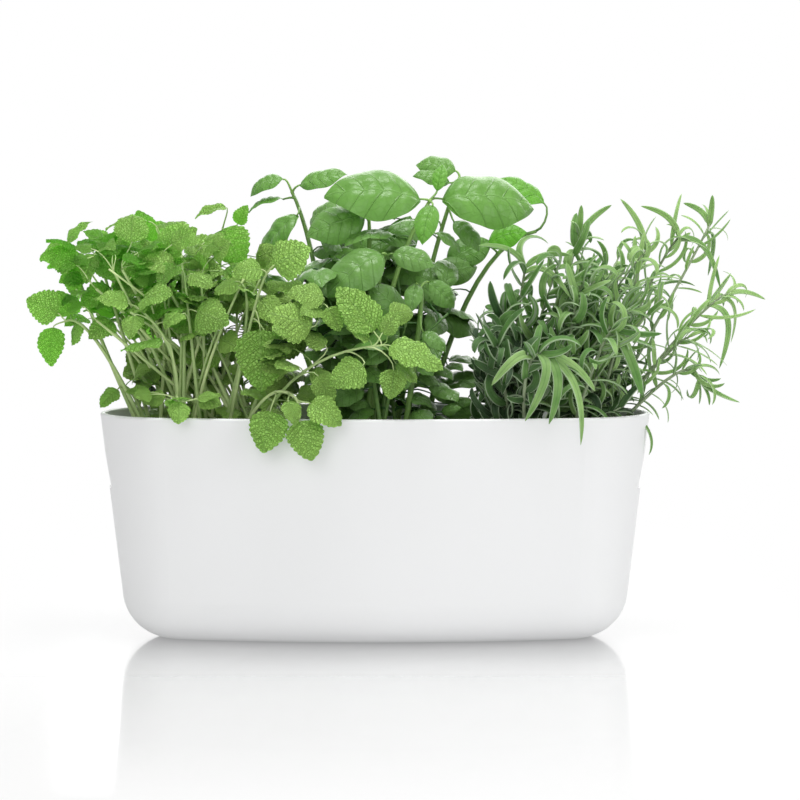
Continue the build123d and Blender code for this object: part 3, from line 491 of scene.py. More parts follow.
def tube(cloth, points, radii, tone, sides, square=0):
    """Round or softly square stem along points, closed at both ends."""
    a, b = frames_along(points)
    turn = np.arange(sides) * 2 * math.pi / sides
    shape = 1 + square * (np.abs(np.sin(2 * turn)) - 0.5)
    ring = np.stack([np.cos(turn) * shape, np.sin(turn) * shape], 1)
    radii = radii[:, None, None]
    grid = points[:, None] + (a[:, None] * ring[None, :, :1] + b[:, None] * ring[None, :, 1:]) * radii
    places = np.zeros(grid.shape)
    places[..., 0] = np.linspace(0, 1, len(points))[:, None]
    places[..., 1] = turn[None] / (2 * math.pi)
    cloth.grid(grid, places, (tone, 0), closed=True)


def stem(cloth, points, radius, tone, sides, square=0):
    """Stem that thins to half its radius at the tip."""
    tube(cloth, points, radius * (1 - 0.5 * np.linspace(0, 1, len(points))), tone, sides, square)


def stalk(cloth, foot, run, blade_start, blade_run, radius, tone, sides=6):
    """Curved stalk from a stem to just inside the base of a blade."""
    start = blade_start + blade_run * STALK_OVERLAP
    gap = float(np.linalg.norm(start - foot))
    a = foot + run * gap * STALK_RISE
    b = start - blade_run * gap * STALK_ARRIVAL
    t = np.linspace(0, 1, STALK_ROWS)[:, None]
    pts = foot * (1 - t) ** 3 + a * 3 * t * (1 - t) ** 2 + b * 3 * t * t * (1 - t) + start * t**3
    tube(cloth, pts, radius * np.linspace(1, STALK_TAPER, STALK_ROWS), tone, sides)


def smooth_edge(u, knots, widths):
    """Smooth outline through the listed half widths."""
    slopes = np.gradient(widths, knots)
    index = np.clip(np.searchsorted(knots, u, side="right") - 1, 0, len(knots) - 2)
    span = knots[index + 1] - knots[index]
    t = (u - knots[index]) / span
    start = (2 * t**3 - 3 * t**2 + 1) * widths[index] + (t**3 - 2 * t**2 + t) * span * slopes[index]
    end = (-2 * t**3 + 3 * t**2) * widths[index + 1] + (t**3 - t**2) * span * slopes[index + 1]
    return np.maximum(start + end, 0)


def stays(kind, pts):
    """Whether points keep clear of the neighbours' herbs and grow pots, which lift out past them."""
    x, y, z = pts[..., 0], pts[..., 1], pts[..., 2]
    if kind == "rosemary":
        return not np.any(x < np.where(y > ROSEMARY_FRONT, ROSEMARY_LEFT_BEHIND, ROSEMARY_LEFT_BEFORE))
    if kind == "basil":
        right = (x > BASIL_RIGHT_BEFORE) & (y < BASIL_BACK_RIGHT) | (x > BASIL_RIGHT_BEHIND)
        left = (x < BASIL_LEFT) & (y < BASIL_BACK_LEFT)
        if np.any(right | left):
            return False
    for centre in NEIGHBOURS[kind]:
        if np.any((np.hypot(x - centre, y) < LIFT_ROOM) & (z < LIFTED_TOP)):
            return False
    return True


def toothed(U, V, teeth):
    """How far an edge's teeth stand out and lean to the tip."""
    tooth = np.sin((U * teeth * TOOTH_PACE + TOOTH_START) % 1 * math.pi) ** TOOTH_ROUND
    outer = np.clip((np.abs(V) - TOOTH_ZONE) / (1 - TOOTH_ZONE), 0, 1) ** TOOTH_GROWTH
    fade = np.clip(U / TOOTHLESS_BASE, 0, 1) * np.clip((1 - U) / TOOTHLESS_TIP, TIP_TOOTH, 1)
    return outer * fade * (tooth - TOOTH_MIDDLE) * TOOTH_DEPTH, outer * fade * TOOTH_LEAN


def relief(form, U, V, y, rng):
    """Heights of a leaf's quilting, midrib groove and wavy edge, and the wave's phase."""
    beside = np.abs(V)
    ends = np.clip(U / PILLOW_START, 0, 1) * np.clip((1 - U) / PILLOW_END, 0, 1)
    slanted = (U - beside * form.slant * 0.5) * form.veins
    pillow = np.abs(np.sin(slanted * math.pi)) ** PILLOW_ROUND * (1 - beside**3) * ends
    groove = np.exp(-((y / form.groove_width) ** 2)) * np.clip((1 - U) * GROOVE_END, 0, 1)
    waves = rng.uniform(*EDGE_WAVES)
    phase = rng.uniform(0, RIPPLE_TURN)
    turn = U * waves * 2 * math.pi + phase + (V > 0) * rng.uniform(1, 3)
    ripple = form.ripple * beside**RIPPLE_GROWTH * np.sin(turn)
    return pillow * form.pillow, groove * form.groove, ripple, phase


def leaf(cloth, start, tip, face, kind, rng, tone, width, arch, fold, roll, curl, fine):
    """One leaf blade. One that isn't planned (not fine) is left out where lifted pots would meet it."""
    form = BLADES[kind]
    chord = tip - start
    long = float(np.linalg.norm(chord))
    along = chord / long
    normal = unit(face - along * face.dot(along))
    turn = math.radians(roll)
    normal = normal * math.cos(turn) + np.cross(along, normal) * math.sin(turn)
    side = np.cross(normal, along)
    rows, cols = form.fine_grid if fine else form.plain_grid
    u, v = np.linspace(0, 1, rows), np.linspace(-1, 1, cols)
    edge = smooth_edge(u, form.edge_at, form.edge_half) * width
    U, V = np.meshgrid(u, np.sign(v) * np.abs(v) ** EDGE_CROWDING, indexing="ij")
    half = edge[:, None] * np.ones_like(V)
    x = U
    if form.teeth:
        stand, lean = toothed(U, V, form.teeth)
        half = half + stand * width
        x = U + lean
    y = V * half
    pillow, groove, ripple, phase = relief(form, U, V, y, rng)
    z = arch * 4 * U * (1 - U) - curl * U**3
    z = z + fold * np.abs(y) - form.dome * np.abs(y) ** 2 + pillow - groove + ripple
    y = y + rng.uniform(-SIDE_BEND, SIDE_BEND) * U * (1 - U)
    if form.grain:
        grain = np.sin(U * 31 + V * 4 + phase) * np.sin(V * 17 + U * 9) * form.grain
        z = z + grain * (1 - np.abs(V) ** 4)
    pts = start + long * (x[..., None] * along + y[..., None] * side + z[..., None] * normal)
    seed = rng.uniform(0, 20)
    if not fine and not stays(kind, pts):
        return False
    across = V * (edge / max(edge.max(), TINY))[:, None]
    cloth.grid(pts, np.stack([U, across, np.full_like(U, seed)], -1), tone)
    return True


def needle(cloth, pts, face, wide, tone, rng):
    """One rosemary needle along points: a long blade with rolled edges and a grooved top."""
    rows = len(pts)
    share = np.linspace(0, 1, rows)
    runs = runs_along(pts)
    twist = rng.uniform(-NEEDLE_TWIST, NEEDLE_TWIST)
    taper = np.minimum(NEEDLE_NECK + share * NEEDLE_OPENING, 1) * (1 - share**6) ** 0.6
    width = np.maximum(wide * 0.5 * taper * (1 - NEEDLE_NARROWING * share), wide * NEEDLE_POINT)
    thick = np.maximum(width * NEEDLE_THICKNESS, NEEDLE_LEAST)
    grid = np.zeros((rows, len(NEEDLE_RING), 3))
    up = face
    for i in range(rows):
        up = unit(up - runs[i] * up.dot(runs[i]))
        side = np.cross(up, runs[i])
        c, s = math.cos(twist * share[i]), math.sin(twist * share[i])
        across = NEEDLE_RING[:, :1] * width[i] * (side * c - up * s)
        grid[i] = pts[i] + across + NEEDLE_RING[:, 1:] * thick[i] * (up * c + side * s)
    places = np.zeros(grid.shape)
    places[..., 0] = share[:, None]
    places[..., 1:] = NEEDLE_RING
    cloth.grid(grid, places, tone, closed=True)


class Tree:
    """Short ways to add nodes to a node tree."""

    def __init__(self, tree, output):
        self.nodes, self.links = tree.nodes, tree.links
        self.nodes.clear()
        self.out = self.add(output)

    def add(self, kind, inputs=(), **settings):
        """New node with its settings, and its inputs set or linked by name or number."""
        node = self.nodes.new("ShaderNode" + kind)
        for name, value in settings.items():
            setattr(node, name, value)
        for name, value in dict(inputs).items():
            self.put(value, node.inputs[name])
        return node

    def put(self, value, socket):
        """Sets a socket to a number or a colour, or links another socket to it."""
        if isinstance(value, (int, float)):
            socket.default_value = value
        elif isinstance(value, tuple):
            socket.default_value = (*value, 1)
        else:
            self.links.new(value, socket)

    def math(self, operation, *values, clamp=False):
        node = self.add("Math", enumerate(values), operation=operation, use_clamp=clamp)
        return node.outputs[0]

    def plus(self, a, b):
        return self.math("ADD", a, b)

    def minus(self, a, b):
        return self.math("SUBTRACT", a, b)

    def times(self, a, b):
        return self.math("MULTIPLY", a, b)

    def fall(self, value, width):
        """1 where a value is nothing, falling to 0 where it reaches a width."""
        return self.math("SUBTRACT", 1, self.math("DIVIDE", value, width), clamp=True)

    def rise(self, value, start, width):
        """0 up to a start, rising to 1 over a width."""
        return self.math("DIVIDE", self.minus(value, start), width, clamp=True)

    def mix(self, share, a, b):
        return self.add("Mix", {0: share, 6: a, 7: b}, data_type="RGBA").outputs[2]

    def blend(self, share, a, b):
        """Mix of two shaders."""
        return self.add("MixShader", {0: share, 1: a, 2: b}).outputs[0]

    def ramp(self, share, *stops):
        node = self.add("ValToRGB", {0: share})
        while len(node.color_ramp.elements) < len(stops):
            node.color_ramp.elements.new(0.5)
        for element, (at, colour) in zip(node.color_ramp.elements, stops):
            element.position = at
            element.color = (*colour, 1)
        return node.outputs[0]

    def object_place(self):
        return self.add("TexCoord").outputs["Object"]

    def noise(self, place, scale, detail, rough=0.5):
        inputs = {"Vector": place, "Scale": scale, "Detail": detail, "Roughness": rough}
        return self.add("TexNoise", inputs).outputs[0]

    def shade(self, tone, share, cloud, spread):
        """A share of a tone, made uneven by a cloud."""
        return self.plus(self.times(tone, share), self.times(self.minus(cloud, 0.5), spread))

    def split(self, vector):
        return self.add("SeparateXYZ", {0: vector}).outputs

    def attribute(self, name):
        """The three numbers of a named attribute."""
        return self.split(self.add("Attribute", attribute_name=name).outputs["Vector"])

    def seen(self):
        """1 for rays from the camera, off a gloss or through a clear piece, else 0."""
        rays = self.add("LightPath").outputs
        mirrored = self.math("MAXIMUM", rays["Is Glossy Ray"], rays["Is Transmission Ray"])
        return self.math("MAXIMUM", rays["Is Camera Ray"], mirrored)

    def show(self, shader):
        self.links.new(shader, self.out.inputs["Surface"])


class Finish(Tree):
    """A material with a Principled shader."""

    def __init__(self, name, rough=0.5, specular=0.5):
        self.material = bpy.data.materials.new(name)
        self.material.use_nodes = True
        super().__init__(self.material.node_tree, "OutputMaterial")
        self.bsdf = self.add("BsdfPrincipled", {"Roughness": rough, "Specular IOR Level": specular})
        self.show(self.bsdf.outputs[0])

    def colour(self, colour):
        self.put(colour, self.bsdf.inputs["Base Color"])

    def sheen(self, weight, rough=0.5):
        self.put(weight, self.bsdf.inputs["Sheen Weight"])
        self.put(rough, self.bsdf.inputs["Sheen Roughness"])

    def bump(self, height, strength, distance):
        inputs = {"Strength": strength, "Distance": distance, "Height": height}
        normal = self.add("Bump", inputs).outputs[0]
        self.links.new(normal, self.bsdf.inputs["Normal"])
        return normal

    def let_through(self, share, colour, normal=None):
        """Mixes in light that passes through from behind."""
        through = self.add("BsdfTranslucent", {0: colour})
        if normal is not None:
            self.links.new(normal, through.inputs["Normal"])
        self.show(self.blend(share, self.bsdf.outputs[0], through.outputs[0]))


def scaled(colour, share, add=0):
    return tuple(min(1, c * share + add) for c in colour)


def leaf_material(name, kind):
    """Leaf finish: a tone per leaf, veins, quilting with painted shade in its creases and along the side
    veins, a pale painted sheen on the flat parts, a paler back and light passing through.
    """
    look = LEAF_FINISHES[kind]
    f = Finish(name, look.rough, look.specular)
    u, v, seed = f.attribute("place")
    tone, lime, _ = f.attribute("tone")
    beside = f.math("ABSOLUTE", v)
    along = f.times(f.minus(u, f.times(beside, look.slant)), look.veins)
    saw = f.math("ABSOLUTE", f.minus(f.math("FRACT", f.plus(along, 0.5)), 0.5))
    side_vein = f.fall(saw, look.side_vein_width)
    mid_vein = f.fall(beside, look.mid_vein_width)
    veins = f.math("MAXIMUM", side_vein, mid_vein)
    place = f.add("CombineXYZ", {0: u, 1: f.times(v, LEAF_SLIMNESS), 2: seed}).outputs[0]
    cells = f.add("TexVoronoi", {"Scale": look.cells, "Vector": place}, feature="DISTANCE_TO_EDGE")
    crease = f.fall(cells.outputs[0], CREASE_WIDTH)
    flat_part = f.minus(1, crease)
    shade = f.shade(tone, LEAF_TONE_SHARE, f.noise(place, 5, 3), LEAF_TONE_SPREAD)
    base = f.ramp(shade, (0, look.dark), (0.5, look.mid), (1, look.light))
    base = f.mix(f.times(lime, LIME_SHARE), base, LIME)
    # Painted sheen: a pale colour on the flat parts of each leaf, stronger on paler-toned leaves.
    painted_sheen = f.math("MULTIPLY", f.times(tone, look.painted_sheen), flat_part, clamp=True)
    base = f.mix(painted_sheen, base, PAINTED_SHEEN)
    # Painted shade in the creases of the quilting and along the side veins.
    base = f.mix(f.times(crease, look.crease_shade), base, scaled(look.mid, CREASE_DARK))
    base = f.mix(f.times(side_vein, look.side_vein_shade), base, scaled(look.mid, SIDE_VEIN_DARK))
    base = f.mix(f.times(mid_vein, MID_VEIN_SHARE), base, look.vein)
    back = f.mix(BACK_SHARE, base, scaled(look.light, BACK_GAIN, BACK_LIFT))
    f.colour(f.mix(f.add("NewGeometry").outputs["Backfacing"], base, back))
    height = f.plus(f.times(flat_part, look.quilt), f.times(f.minus(1, veins), VEIN_DEPTH))
    normal = f.bump(height, look.bump, LEAF_BUMP)
    glow = f.mix(f.times(crease, GLOW_CREASE), look.glow, scaled(look.glow, GLOW_CREASE_DARK))
    glow = f.mix(f.times(veins, GLOW_VEIN), glow, scaled(look.glow, GLOW_VEIN_DARK))
    share = f.math("MULTIPLY", tone, look.glow_share, clamp=True)
    share = f.plus(share, f.plus(f.times(lime, GLOW_LIME), GLOW_LEAST))
    f.let_through(share, glow, normal)
    return f.material


def stem_material(name, low, high, rough=0.45):
    """Stem finish: tone per stem, broken by fine spots."""
    f = Finish(name, rough)
    tone = f.attribute("tone")[0]
    spots = f.noise(f.object_place(), 260, 4)
    colour = f.ramp(f.shade(tone, 0.8, spots, 0.5), (0, low), (1, high))
    f.colour(colour)
    f.bump(spots, 0.35, 0.0004)
    f.let_through(STEM_GLOW, colour)
    return f.material


def needle_material(name):
    """Needle finish: tone per needle, a dark groove on top, pale rims and a pale underside."""
    f = Finish(name, 0.5, 0.2)
    _, across, up = f.attribute("place")
    tone = f.attribute("tone")[0]
    beside = f.math("ABSOLUTE", across)
    coords = f.object_place()
    grain = f.noise(coords, 900, 4, 0.65)
    shade = f.shade(tone, 0.85, f.noise(coords, 90, 2), 0.5)
    green = f.ramp(shade, *NEEDLE_GREENS)
    green = f.mix(f.times(grain, GRAIN_SHARE), green, NEEDLE_GRAIN)
    green = f.mix(f.times(f.fall(beside, GROOVE_WIDTH), GROOVE_SHARE), green, NEEDLE_GROOVE)
    rim = f.math("SUBTRACT", f.math("DIVIDE", beside, RIM_WIDTH), RIM_START / RIM_WIDTH, clamp=True)
    green = f.mix(f.times(rim, RIM_SHARE), green, NEEDLE_RIM)
    under = f.times(f.math("LESS_THAN", up, UNDERSIDE_TOP), f.math("LESS_THAN", beside, UNDERSIDE_HALF))
    colour = f.mix(f.times(under, UNDERSIDE_SHARE), green, NEEDLE_UNDERSIDE)
    f.colour(colour)
    f.sheen(0.05, 0.4)
    f.bump(grain, 0.5, 0.0004)
    f.let_through(NEEDLE_GLOW_SHARE, f.mix(0.6, colour, NEEDLE_GLOW))
    return f.material


def plastic(name, colour, rough, grain=900):
    """Moulded plastic: a faint mottling and a fine moulded grain."""
    f = Finish(name)
    coords = f.object_place()
    fine = f.noise(coords, grain, 2)
    f.colour(f.mix(f.noise(coords, 9, 2), scaled(colour, MOTTLING), colour))
    f.put(f.plus(rough - GRAIN_GLOSS / 2, f.times(fine, GRAIN_GLOSS)), f.bsdf.inputs["Roughness"])
    f.bump(fine, 0.25, 0.00003)
    return f.material


def soil_material():
    f = Finish("potting_soil", 0.95)
    coords = f.object_place()
    crumbs = f.add("TexVoronoi", {"Scale": 320, "Vector": coords}).outputs[0]
    shade = f.plus(f.times(crumbs, 0.6), f.times(f.noise(coords, 120, 5, 0.6), 0.5))
    f.colour(f.ramp(shade, *SOIL_BROWNS))
    f.bump(crumbs, 1, 0.0016)
    return f.material


def felt_material():
    f = Finish("felt", 0.95)
    fibres = f.noise(f.object_place(), 1400, 6, 0.7)
    f.colour(f.mix(fibres, FELT_DARK, FELT_PALE))
    f.sheen(0.4)
    f.bump(fibres, 0.8, 0.0004)
    return f.material


def dress(kind, cloth, start, tip, look, roll, rng, fine=True):
    """A leaf with its own small differences in lean, width, arch, fold, roll and curl."""
    lean, tone, lime, width = look
    form = BLADES[kind]
    face = np.array((rng.uniform(-form.side_lean, form.side_lean), -lean, 1))
    if form.widths:
        width = width * rng.uniform(*form.widths)
    arch, fold, tilt, curl = draw(rng, form.arch, form.fold, (-form.roll, form.roll), form.curl)
    tilt += roll
    return leaf(cloth, start, tip, face, kind, rng, (tone, lime), width, arch, fold, tilt, curl, fine)


def grow_leafy(kind, plan, stem_radius, stalk_radius, rng, tones):
    """Stems, stalks and the planned leaves of lemon balm or basil."""
    stems, blades = Cloth(), Cloth()
    for shoot, _ in plan.values():
        stem(stems, along_curve(shoot_curve(shoot), 12), stem_radius, rng.uniform(0.55, 1), 8, 0.35)
    for shoot, leaves in plan.values():
        for at, base, end, *own in leaves:
            foot, start, tip = shoot_place(shoot, at), spot(*base), spot(*end)
            tone = rng.uniform(0.5, 1)
            stalk(stems, foot, shoot_run(shoot, at), start, unit(tip - start), stalk_radius, tone)
            lean = rng.uniform(0.5, 1.3)
            usual = (lean, tones(start, rng), 0 if rng.random() < 0.75 else 0.5, 1)
            lean, tone, lime, width = own[1] if own[1:] else usual
            # Painted light: leaves on the open left side get a paler tone.
            if start[0] < LIT_SIDE:
                tone = tone * LIT_GAIN
            dress(kind, blades, start, tip, (lean, tone, lime, width), own[0] if own else 0, rng)
    return stems, blades


def more_stems(cloth, shoots, radii, tones, rng):
    for shoot in shoots:
        stem(cloth, along_curve(shoot_curve(shoot), 10), *draw(rng, radii, tones), 7, 0.3)


def fill(kind, stems, blades, plan, more, boxes, stalk_radius, rng):
    """Leaves between the planned ones, each on a stalk from the nearest stem below it."""
    curves = [shoot_curve(shoot) for shoot in [shoot for shoot, _ in plan.values()] + more]
    line = np.concatenate([along_curve(curve, FEET, FIRST_FOOT) for curve in curves])
    ahead = np.array([unit(on_curve(curve, t + 0.02) - on_curve(curve, t))
                      for curve in curves for t in np.linspace(FIRST_FOOT, 1, FEET)])
    for count, across, rise, depth, size, tones, lime in boxes:
        for _ in range(count):
            start = spot(*draw(rng, across, rise, depth))
            reach = np.linalg.norm(line - start, axis=1)
            above = np.maximum(line[:, 2] - start[2], 0)
            index = int(np.argmin(reach + above * 2 + np.abs(reach - USUAL_STALK) * 0.3))
            foot = line[index]
            gap = start - foot
            if reach[index] > LONGEST_STALK:
                start = foot + gap / float(np.linalg.norm(gap)) * LONGEST_STALK
            away = unit(np.array((gap[0], gap[1], gap[2] * 0.4)) + FORWARD)
            direction = unit(away + draw(rng, (-0.7, 0.7), (-0.7, 0.5), (-0.7, 0.35)))
            tip = start + direction * rng.uniform(*size)
            if tip[2] < HEIGHT + RIM_ROOM and abs(tip[1]) > RIM_HALF:
                continue
            # The box's tone range paints in light and shade; the leaf's stalk takes its tone from the
            # same range.
            lean, tone = draw(rng, (0.2, 1.7), tones)
            glow = lime if rng.random() < 0.35 else 0
            width = rng.uniform(0.85, 1.15)
            # Painted light: leaves on the open left side get a paler, lifted tone.
            if start[0] < LIT_SIDE:
                tone = tone * LIT_GAIN + LIT_LIFT
            roll = rng.uniform(-25, 25)
            if dress(kind, blades, start, tip, (lean, tone, glow, width), roll, rng, False):
                radius = stalk_radius * rng.uniform(0.7, 1)
                stalk(stems, foot, ahead[index], start, direction, radius, rng.uniform(*tones), 5)


def extra_shoots(kind, count, across, rise, depth, rng, reach=58):
    """More thin shoots from the same pot, rising with a bend to their tips."""
    centre = POT_CENTRES[kind]
    shoots = []
    while len(shoots) < count:
        turn, far = rng.uniform(0, FULL_TURN), reach * math.sqrt(rng.random())
        root = (centre + far * math.cos(turn), far * math.sin(turn))
        tip = draw(rng, across, rise, depth)
        bend = rng.uniform(0.3, 0.48)
        middle = (root[0] + (tip[0] - root[0]) * bend, (tip[1] - SOIL_DROP) * 0.5 + rng.uniform(-8, 8),
                  root[1] + (tip[2] - root[1]) * bend)
        shoot = (root, middle, tip)
        if kind == "rosemary" or stays(kind, along_curve(shoot_curve(shoot), 9)):
            shoots.append(shoot)
    return shoots


def bent(start, direction, axis, long, turn, rows):
    """Points along a needle that turns steadily about an axis."""
    pts, here = [start], start
    for i in range(rows - 1):
        angle = turn * ((i + 0.5) / (rows - 1)) ** 1.3
        run = direction * math.cos(angle) + np.cross(axis, direction) * math.sin(angle)
        here = here + run * long / (rows - 1)
        pts.append(here)
    return np.array(pts)


def needles_on(cloth, curve, count, size, wide, tone, rng):
    """Needles in a spiral up a sprig, flatter to it near its tip, many of them curling."""
    for index in range(count):
        at = FIRST_NEEDLE + (1 - FIRST_NEEDLE) * (index + 0.5) / count
        foot = on_curve(curve, at)
        run = unit(on_curve(curve, min(at + 0.03, 1)) - on_curve(curve, at - 0.03))
        side = unit(np.cross(run, SPRIG_SIDE))
        other = np.cross(run, side)
        turn = math.radians(index * GOLDEN_ANGLE + rng.uniform(-25, 25))
        out = side * math.cos(turn) + other * math.sin(turn)
        angle = math.radians(NEEDLE_ANGLE - NEEDLE_CLOSING * at**2 + rng.uniform(-14, 14))
        lay = unit(run * math.cos(angle) + out * math.sin(angle))
        long = size * rng.uniform(0.65, 1.15)
        curl = rng.uniform(1.5, 3.6) if rng.random() < 0.6 else rng.uniform(0.3, 1.3)
        down = np.array((0, 0, -1)) if rng.random() < 0.6 else run
        axis = np.cross(lay, down + np.array((rng.uniform(-0.5, 0.5), rng.uniform(-0.5, 0.5), 0)))
        if np.linalg.norm(axis) < 0.05:
            axis = other
        pts = bent(foot, lay, unit(axis), long, curl, NEEDLE_ROWS)
        if min(pts[:, 2]) < HEIGHT + NEEDLE_RIM_ROOM and max(abs(pts[:, 1])) > NEEDLE_RIM_HALF:
            continue
        if not stays("rosemary", pts):
            continue
        face = unit(run * 0.6 + unit(-np.cross(unit(axis), lay)) * 0.8 + LIGHT_FACE * 0.25)
        width = wide * rng.uniform(0.8, 1.15)
        needle(cloth, pts, face, width, (clamp(tone + rng.uniform(-0.2, 0.2)), rng.random()), rng)


def grow_sprig(stems, blades, shoot, radius, count, size, tone, rng):
    """A rosemary sprig; its needles are narrower towards the right end of the trough. Unless a tone is
    given, their tone paints in light and shade: paler to the right and higher up, darker to the left and
    low down.
    """
    curve = shoot_curve(shoot)
    tip = curve[2]
    stem(stems, along_curve(curve, 12), radius, rng.uniform(0.3, 1), 7)
    narrow = clamp((tip[0] - NARROW_START) / NARROW_RUN)
    # Painted light and shade: the needles' tone rises to the right and upwards.
    if tone is None:
        tone = clamp(0.46 + (tip[0] - 0.12) * 5 + (tip[2] - 0.22) * 4)
    needles_on(blades, curve, count, size, NEEDLE_WIDTH - NEEDLE_WIDTH_LOSS * narrow, tone, rng)


def grow_rosemary(rng):
    stems, blades = Cloth(), Cloth()
    more = [(shoot, tone) for count, across, rise, depth, tone in MORE_ROSEMARY
            for shoot in extra_shoots("rosemary", count, across, rise, depth, rng)]
    for *shoot, count, size in sprigs.values():
        needles = int(count * NEEDLES_SHOWN)
        grow_sprig(stems, blades, shoot, 0.0014, needles, NEEDLE_LENGTH * size, None, rng)
    for shoot, tone in more:
        grow_sprig(stems, blades, shoot, 0.0011, 22, NEEDLE_LENGTH * 0.9, tone, rng)
    for name, at, place in ((name, *row) for name, rows in long_needles.items() for row in rows):
        sprig = sprigs[name]
        foot, run, tip = shoot_place(sprig, at), shoot_run(sprig, at), spot(*place)
        gap = float(np.linalg.norm(tip - foot))
        lead = unit(unit(tip - foot) + run * 0.8 + np.array((0, 0, 0.45)))
        pts = along_curve((foot, foot + lead * gap * 0.5, tip), 21)
        wide = rng.uniform(0.0066, 0.0078) if tip[1] < FRONT_NEEDLES else 0.0046
        tone = (rng.uniform(0.5, 0.95), 0.5)
        needle(blades, pts, unit(LIGHT_FACE + lead * 0.3), wide, tone, rng)
    return stems, blades


# Finishes of the trough, the insert, the wicks, the grow pots and the soil

felt, soil = felt_material(), soil_material()
black = plastic("grow_pot_black_plastic", (0.022, 0.022, 0.024), 0.5, grain=500)
finishes = {
    "outer_pot": plastic("white_satin_plastic", (0.86, 0.865, 0.87), 0.42),
    "water_insert": plastic("insert_grey_plastic", (0.2, 0.21, 0.22), 0.5),
}
for herb in ("balm", "basil", "rosemary"):
    finishes.update({herb + "_wick": felt, herb + "_grow_pot": black, herb + "_soil": soil})
for node_name, finish in finishes.items():
    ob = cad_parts[node_name]
    ob.data.materials.clear()
    ob.data.materials.append(finish)

# The herbs

rng = random.Random(7)
# Painted light and shade: balm leaves get paler tones further to the left, basil leaves paler tones
# higher up.
balm_stems, balm_blades = grow_leafy(
    "balm", balm_plan, 0.0014, BALM_STALK, rng,
    lambda start, r: clamp(0.42 + (-start[0] - 0.08) * 5 + r.uniform(-0.25, 0.2), 0.05))
basil_stems, basil_blades = grow_leafy(
    "basil", basil_plan, 0.0022, 0.00095, rng,
    lambda start, r: clamp((start[2] - 0.23) * 4 + r.uniform(-0.1, 0.15), 0, 0.6))
more_balm = [shoot for room in MORE_BALM for shoot in extra_shoots("balm", *room, rng)]
more_stems(balm_stems, more_balm, (0.0011, 0.0016), (0.6, 1.2), rng)
fill("balm", balm_stems, balm_blades, balm_plan, more_balm, BALM_FILL, BALM_STALK, rng)
more_basil = extra_shoots("basil", 9, (-62, 90), (70, 150), (-30, 60), rng, 50)
more_stems(basil_stems, more_basil, (0.0014, 0.002), (0.1, 0.5), rng)
fill("basil", basil_stems, basil_blades, basil_plan, more_basil, BASIL_FILL, 0.0009, rng)
rosemary_stems, rosemary_blades = grow_rosemary(rng)

balm_stems.build("balm_stem_tubes", stem_material("balm_stem", (0.22, 0.42, 0.08), (0.8, 0.92, 0.48)),
                 "lemon_balm", ["balm_stems", "balm_trailing_stems"], "balm_stem")
balm_blades.build("balm_leaf_blades", leaf_material("balm_leaf", "balm"),
                  "lemon_balm", ["balm_leaves", "balm_trailing_leaves"], "balm_leaf")
basil_stems.build("basil_stem_tubes", stem_material("basil_stem", (0.05, 0.18, 0.03), (0.42, 0.68, 0.18)),
                  "basil", ["basil_stems"], "basil_stem")
basil_blades.build("basil_leaf_blades", leaf_material("basil_leaf", "basil"),
                   "basil", ["basil_leaves"], "basil_leaf")
rosemary_stems.build(
    "rosemary_stem_tubes", stem_material("rosemary_stem", (0.16, 0.24, 0.1), (0.52, 0.62, 0.4), 0.6),
    "rosemary", ["rosemary_stems"], "rosemary_stem")
rosemary_blades.build("rosemary_needle_blades", needle_material("rosemary_needle"),
                      "rosemary", ["rosemary_needles"], "rosemary_needle")

# The floor: pale, with a mirror image that fades to the front, and white far out

floor_mesh = bpy.data.meshes.new("floor")
floor_mesh.from_pydata([(-6, -3, 0), (6, -3, 0), (6, 9, 0), (-6, 9, 0)], [], [(0, 1, 2, 3)])
floor = placed("floor", floor_mesh)
f = Finish("floor")
coords = f.object_place()
across, back, _ = f.split(coords)
front = f.minus(MIRROR_EDGE, back)
fade = f.math("POWER", f.fall(f.minus(front, MIRROR_START), MIRROR_RUN), MIRROR_CURVE)
diffuse = f.add("BsdfDiffuse", {0: (FLOOR_GREY,) * 3})
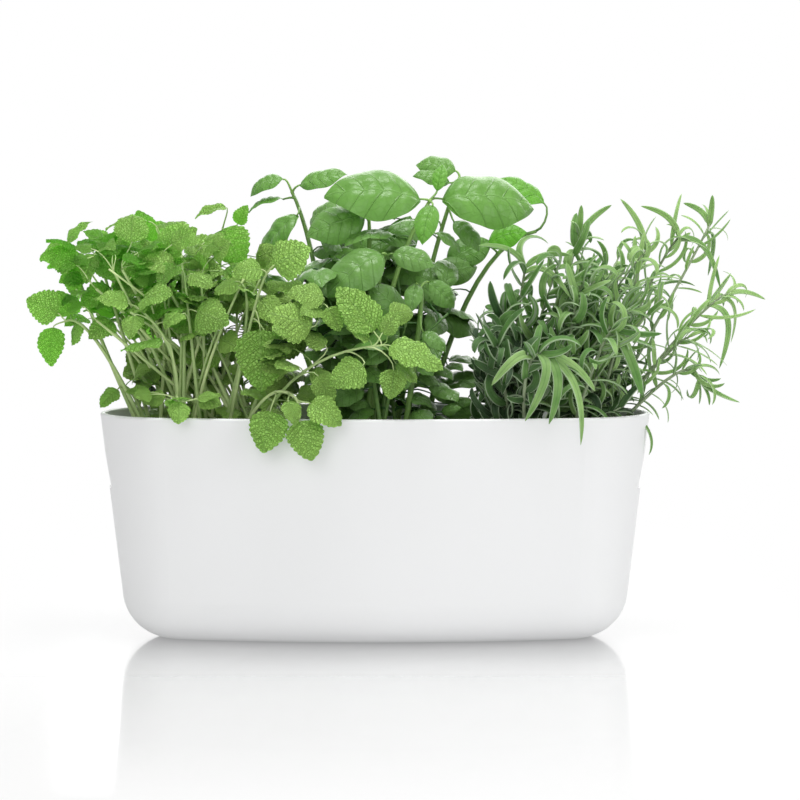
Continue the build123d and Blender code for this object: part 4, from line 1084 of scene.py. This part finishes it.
# Painted light: a faint white glow over the whole floor, which lightens the pot's shadow on it and lights
# the pot's underside.
lift = f.add("Emission", {0: WHITE, 1: FLOOR_LIFT})
ground = f.add("AddShader", {0: diffuse.outputs[0], 1: lift.outputs[0]})
gloss = f.add("BsdfGlossy", {"Color": WHITE, "Roughness": 0.1})
camera_ray = f.add("LightPath").outputs["Is Camera Ray"]
mirror = f.blend(f.times(f.times(fade, MIRROR_SHARE), camera_ray), ground.outputs[0], gloss.outputs[0])
radius = f.add("VectorMath", {0: coords}, operation="LENGTH").outputs["Value"]
beside = f.rise(f.math("ABSOLUTE", across), FLOOR_HALF, FLOOR_EDGE)
away = f.math("MAXIMUM", beside, f.rise(radius, FLOOR_RADIUS, FLOOR_FADE))
white = f.add("Emission", {0: WHITE}).outputs[0]
f.show(f.blend(f.times(away, f.seen()), mirror, white))
f.nodes.remove(f.bsdf)
floor_mesh.materials.append(f.material)

# The world: white where it is seen, dimmer where it lights

world = bpy.data.worlds.new("studio")
bpy.context.scene.world = world
world.use_nodes = True
sky = Tree(world.node_tree, "OutputWorld")
lit = sky.add("Background", {0: WHITE, 1: WORLD_LIGHT})
shown = sky.add("Background", {0: WHITE, 1: 1})
sky.show(sky.blend(sky.seen(), lit.outputs[0], shown.outputs[0]))

# Lamps: place, target, size and power

for name, place, target, size, power in (
        ("top_light", (0.1, -0.15, 1.5), (0, 0, 0.2), (0.8, 0.6), 16),
        ("front_light", (-0.5, -1.9, 0.9), (0, 0, 0.1), (1.6, 1.2), 11.5),
        ("right_light", (1.4, -1, 0.7), (0, 0, 0.12), (0.8, 1), 7.5),
        ("back_light", (0.3, 1.2, 0.8), (0.05, 0, 0.22), (1.6, 0.9), 12)):
    lamp = bpy.data.lights.new(name, "AREA")
    lamp.shape = "RECTANGLE"
    lamp.size, lamp.size_y = size
    lamp.energy = power
    aim(placed(name, lamp), place, target)

# The camera

camera_data = bpy.data.cameras.new("camera")
camera = placed("camera", camera_data)
bpy.context.scene.camera = camera
camera_data.sensor_width, camera_data.lens, camera_data.clip_start = 36, 100.3, 0.01
drop = EYE_DISTANCE * math.tan(math.radians(EYE_TILT))
aim(camera, (EYE_ACROSS, -EYE_DISTANCE, EYE_HEIGHT), (EYE_ACROSS, 0, EYE_HEIGHT - drop))

bpy.context.scene.view_settings.view_transform = "Standard"
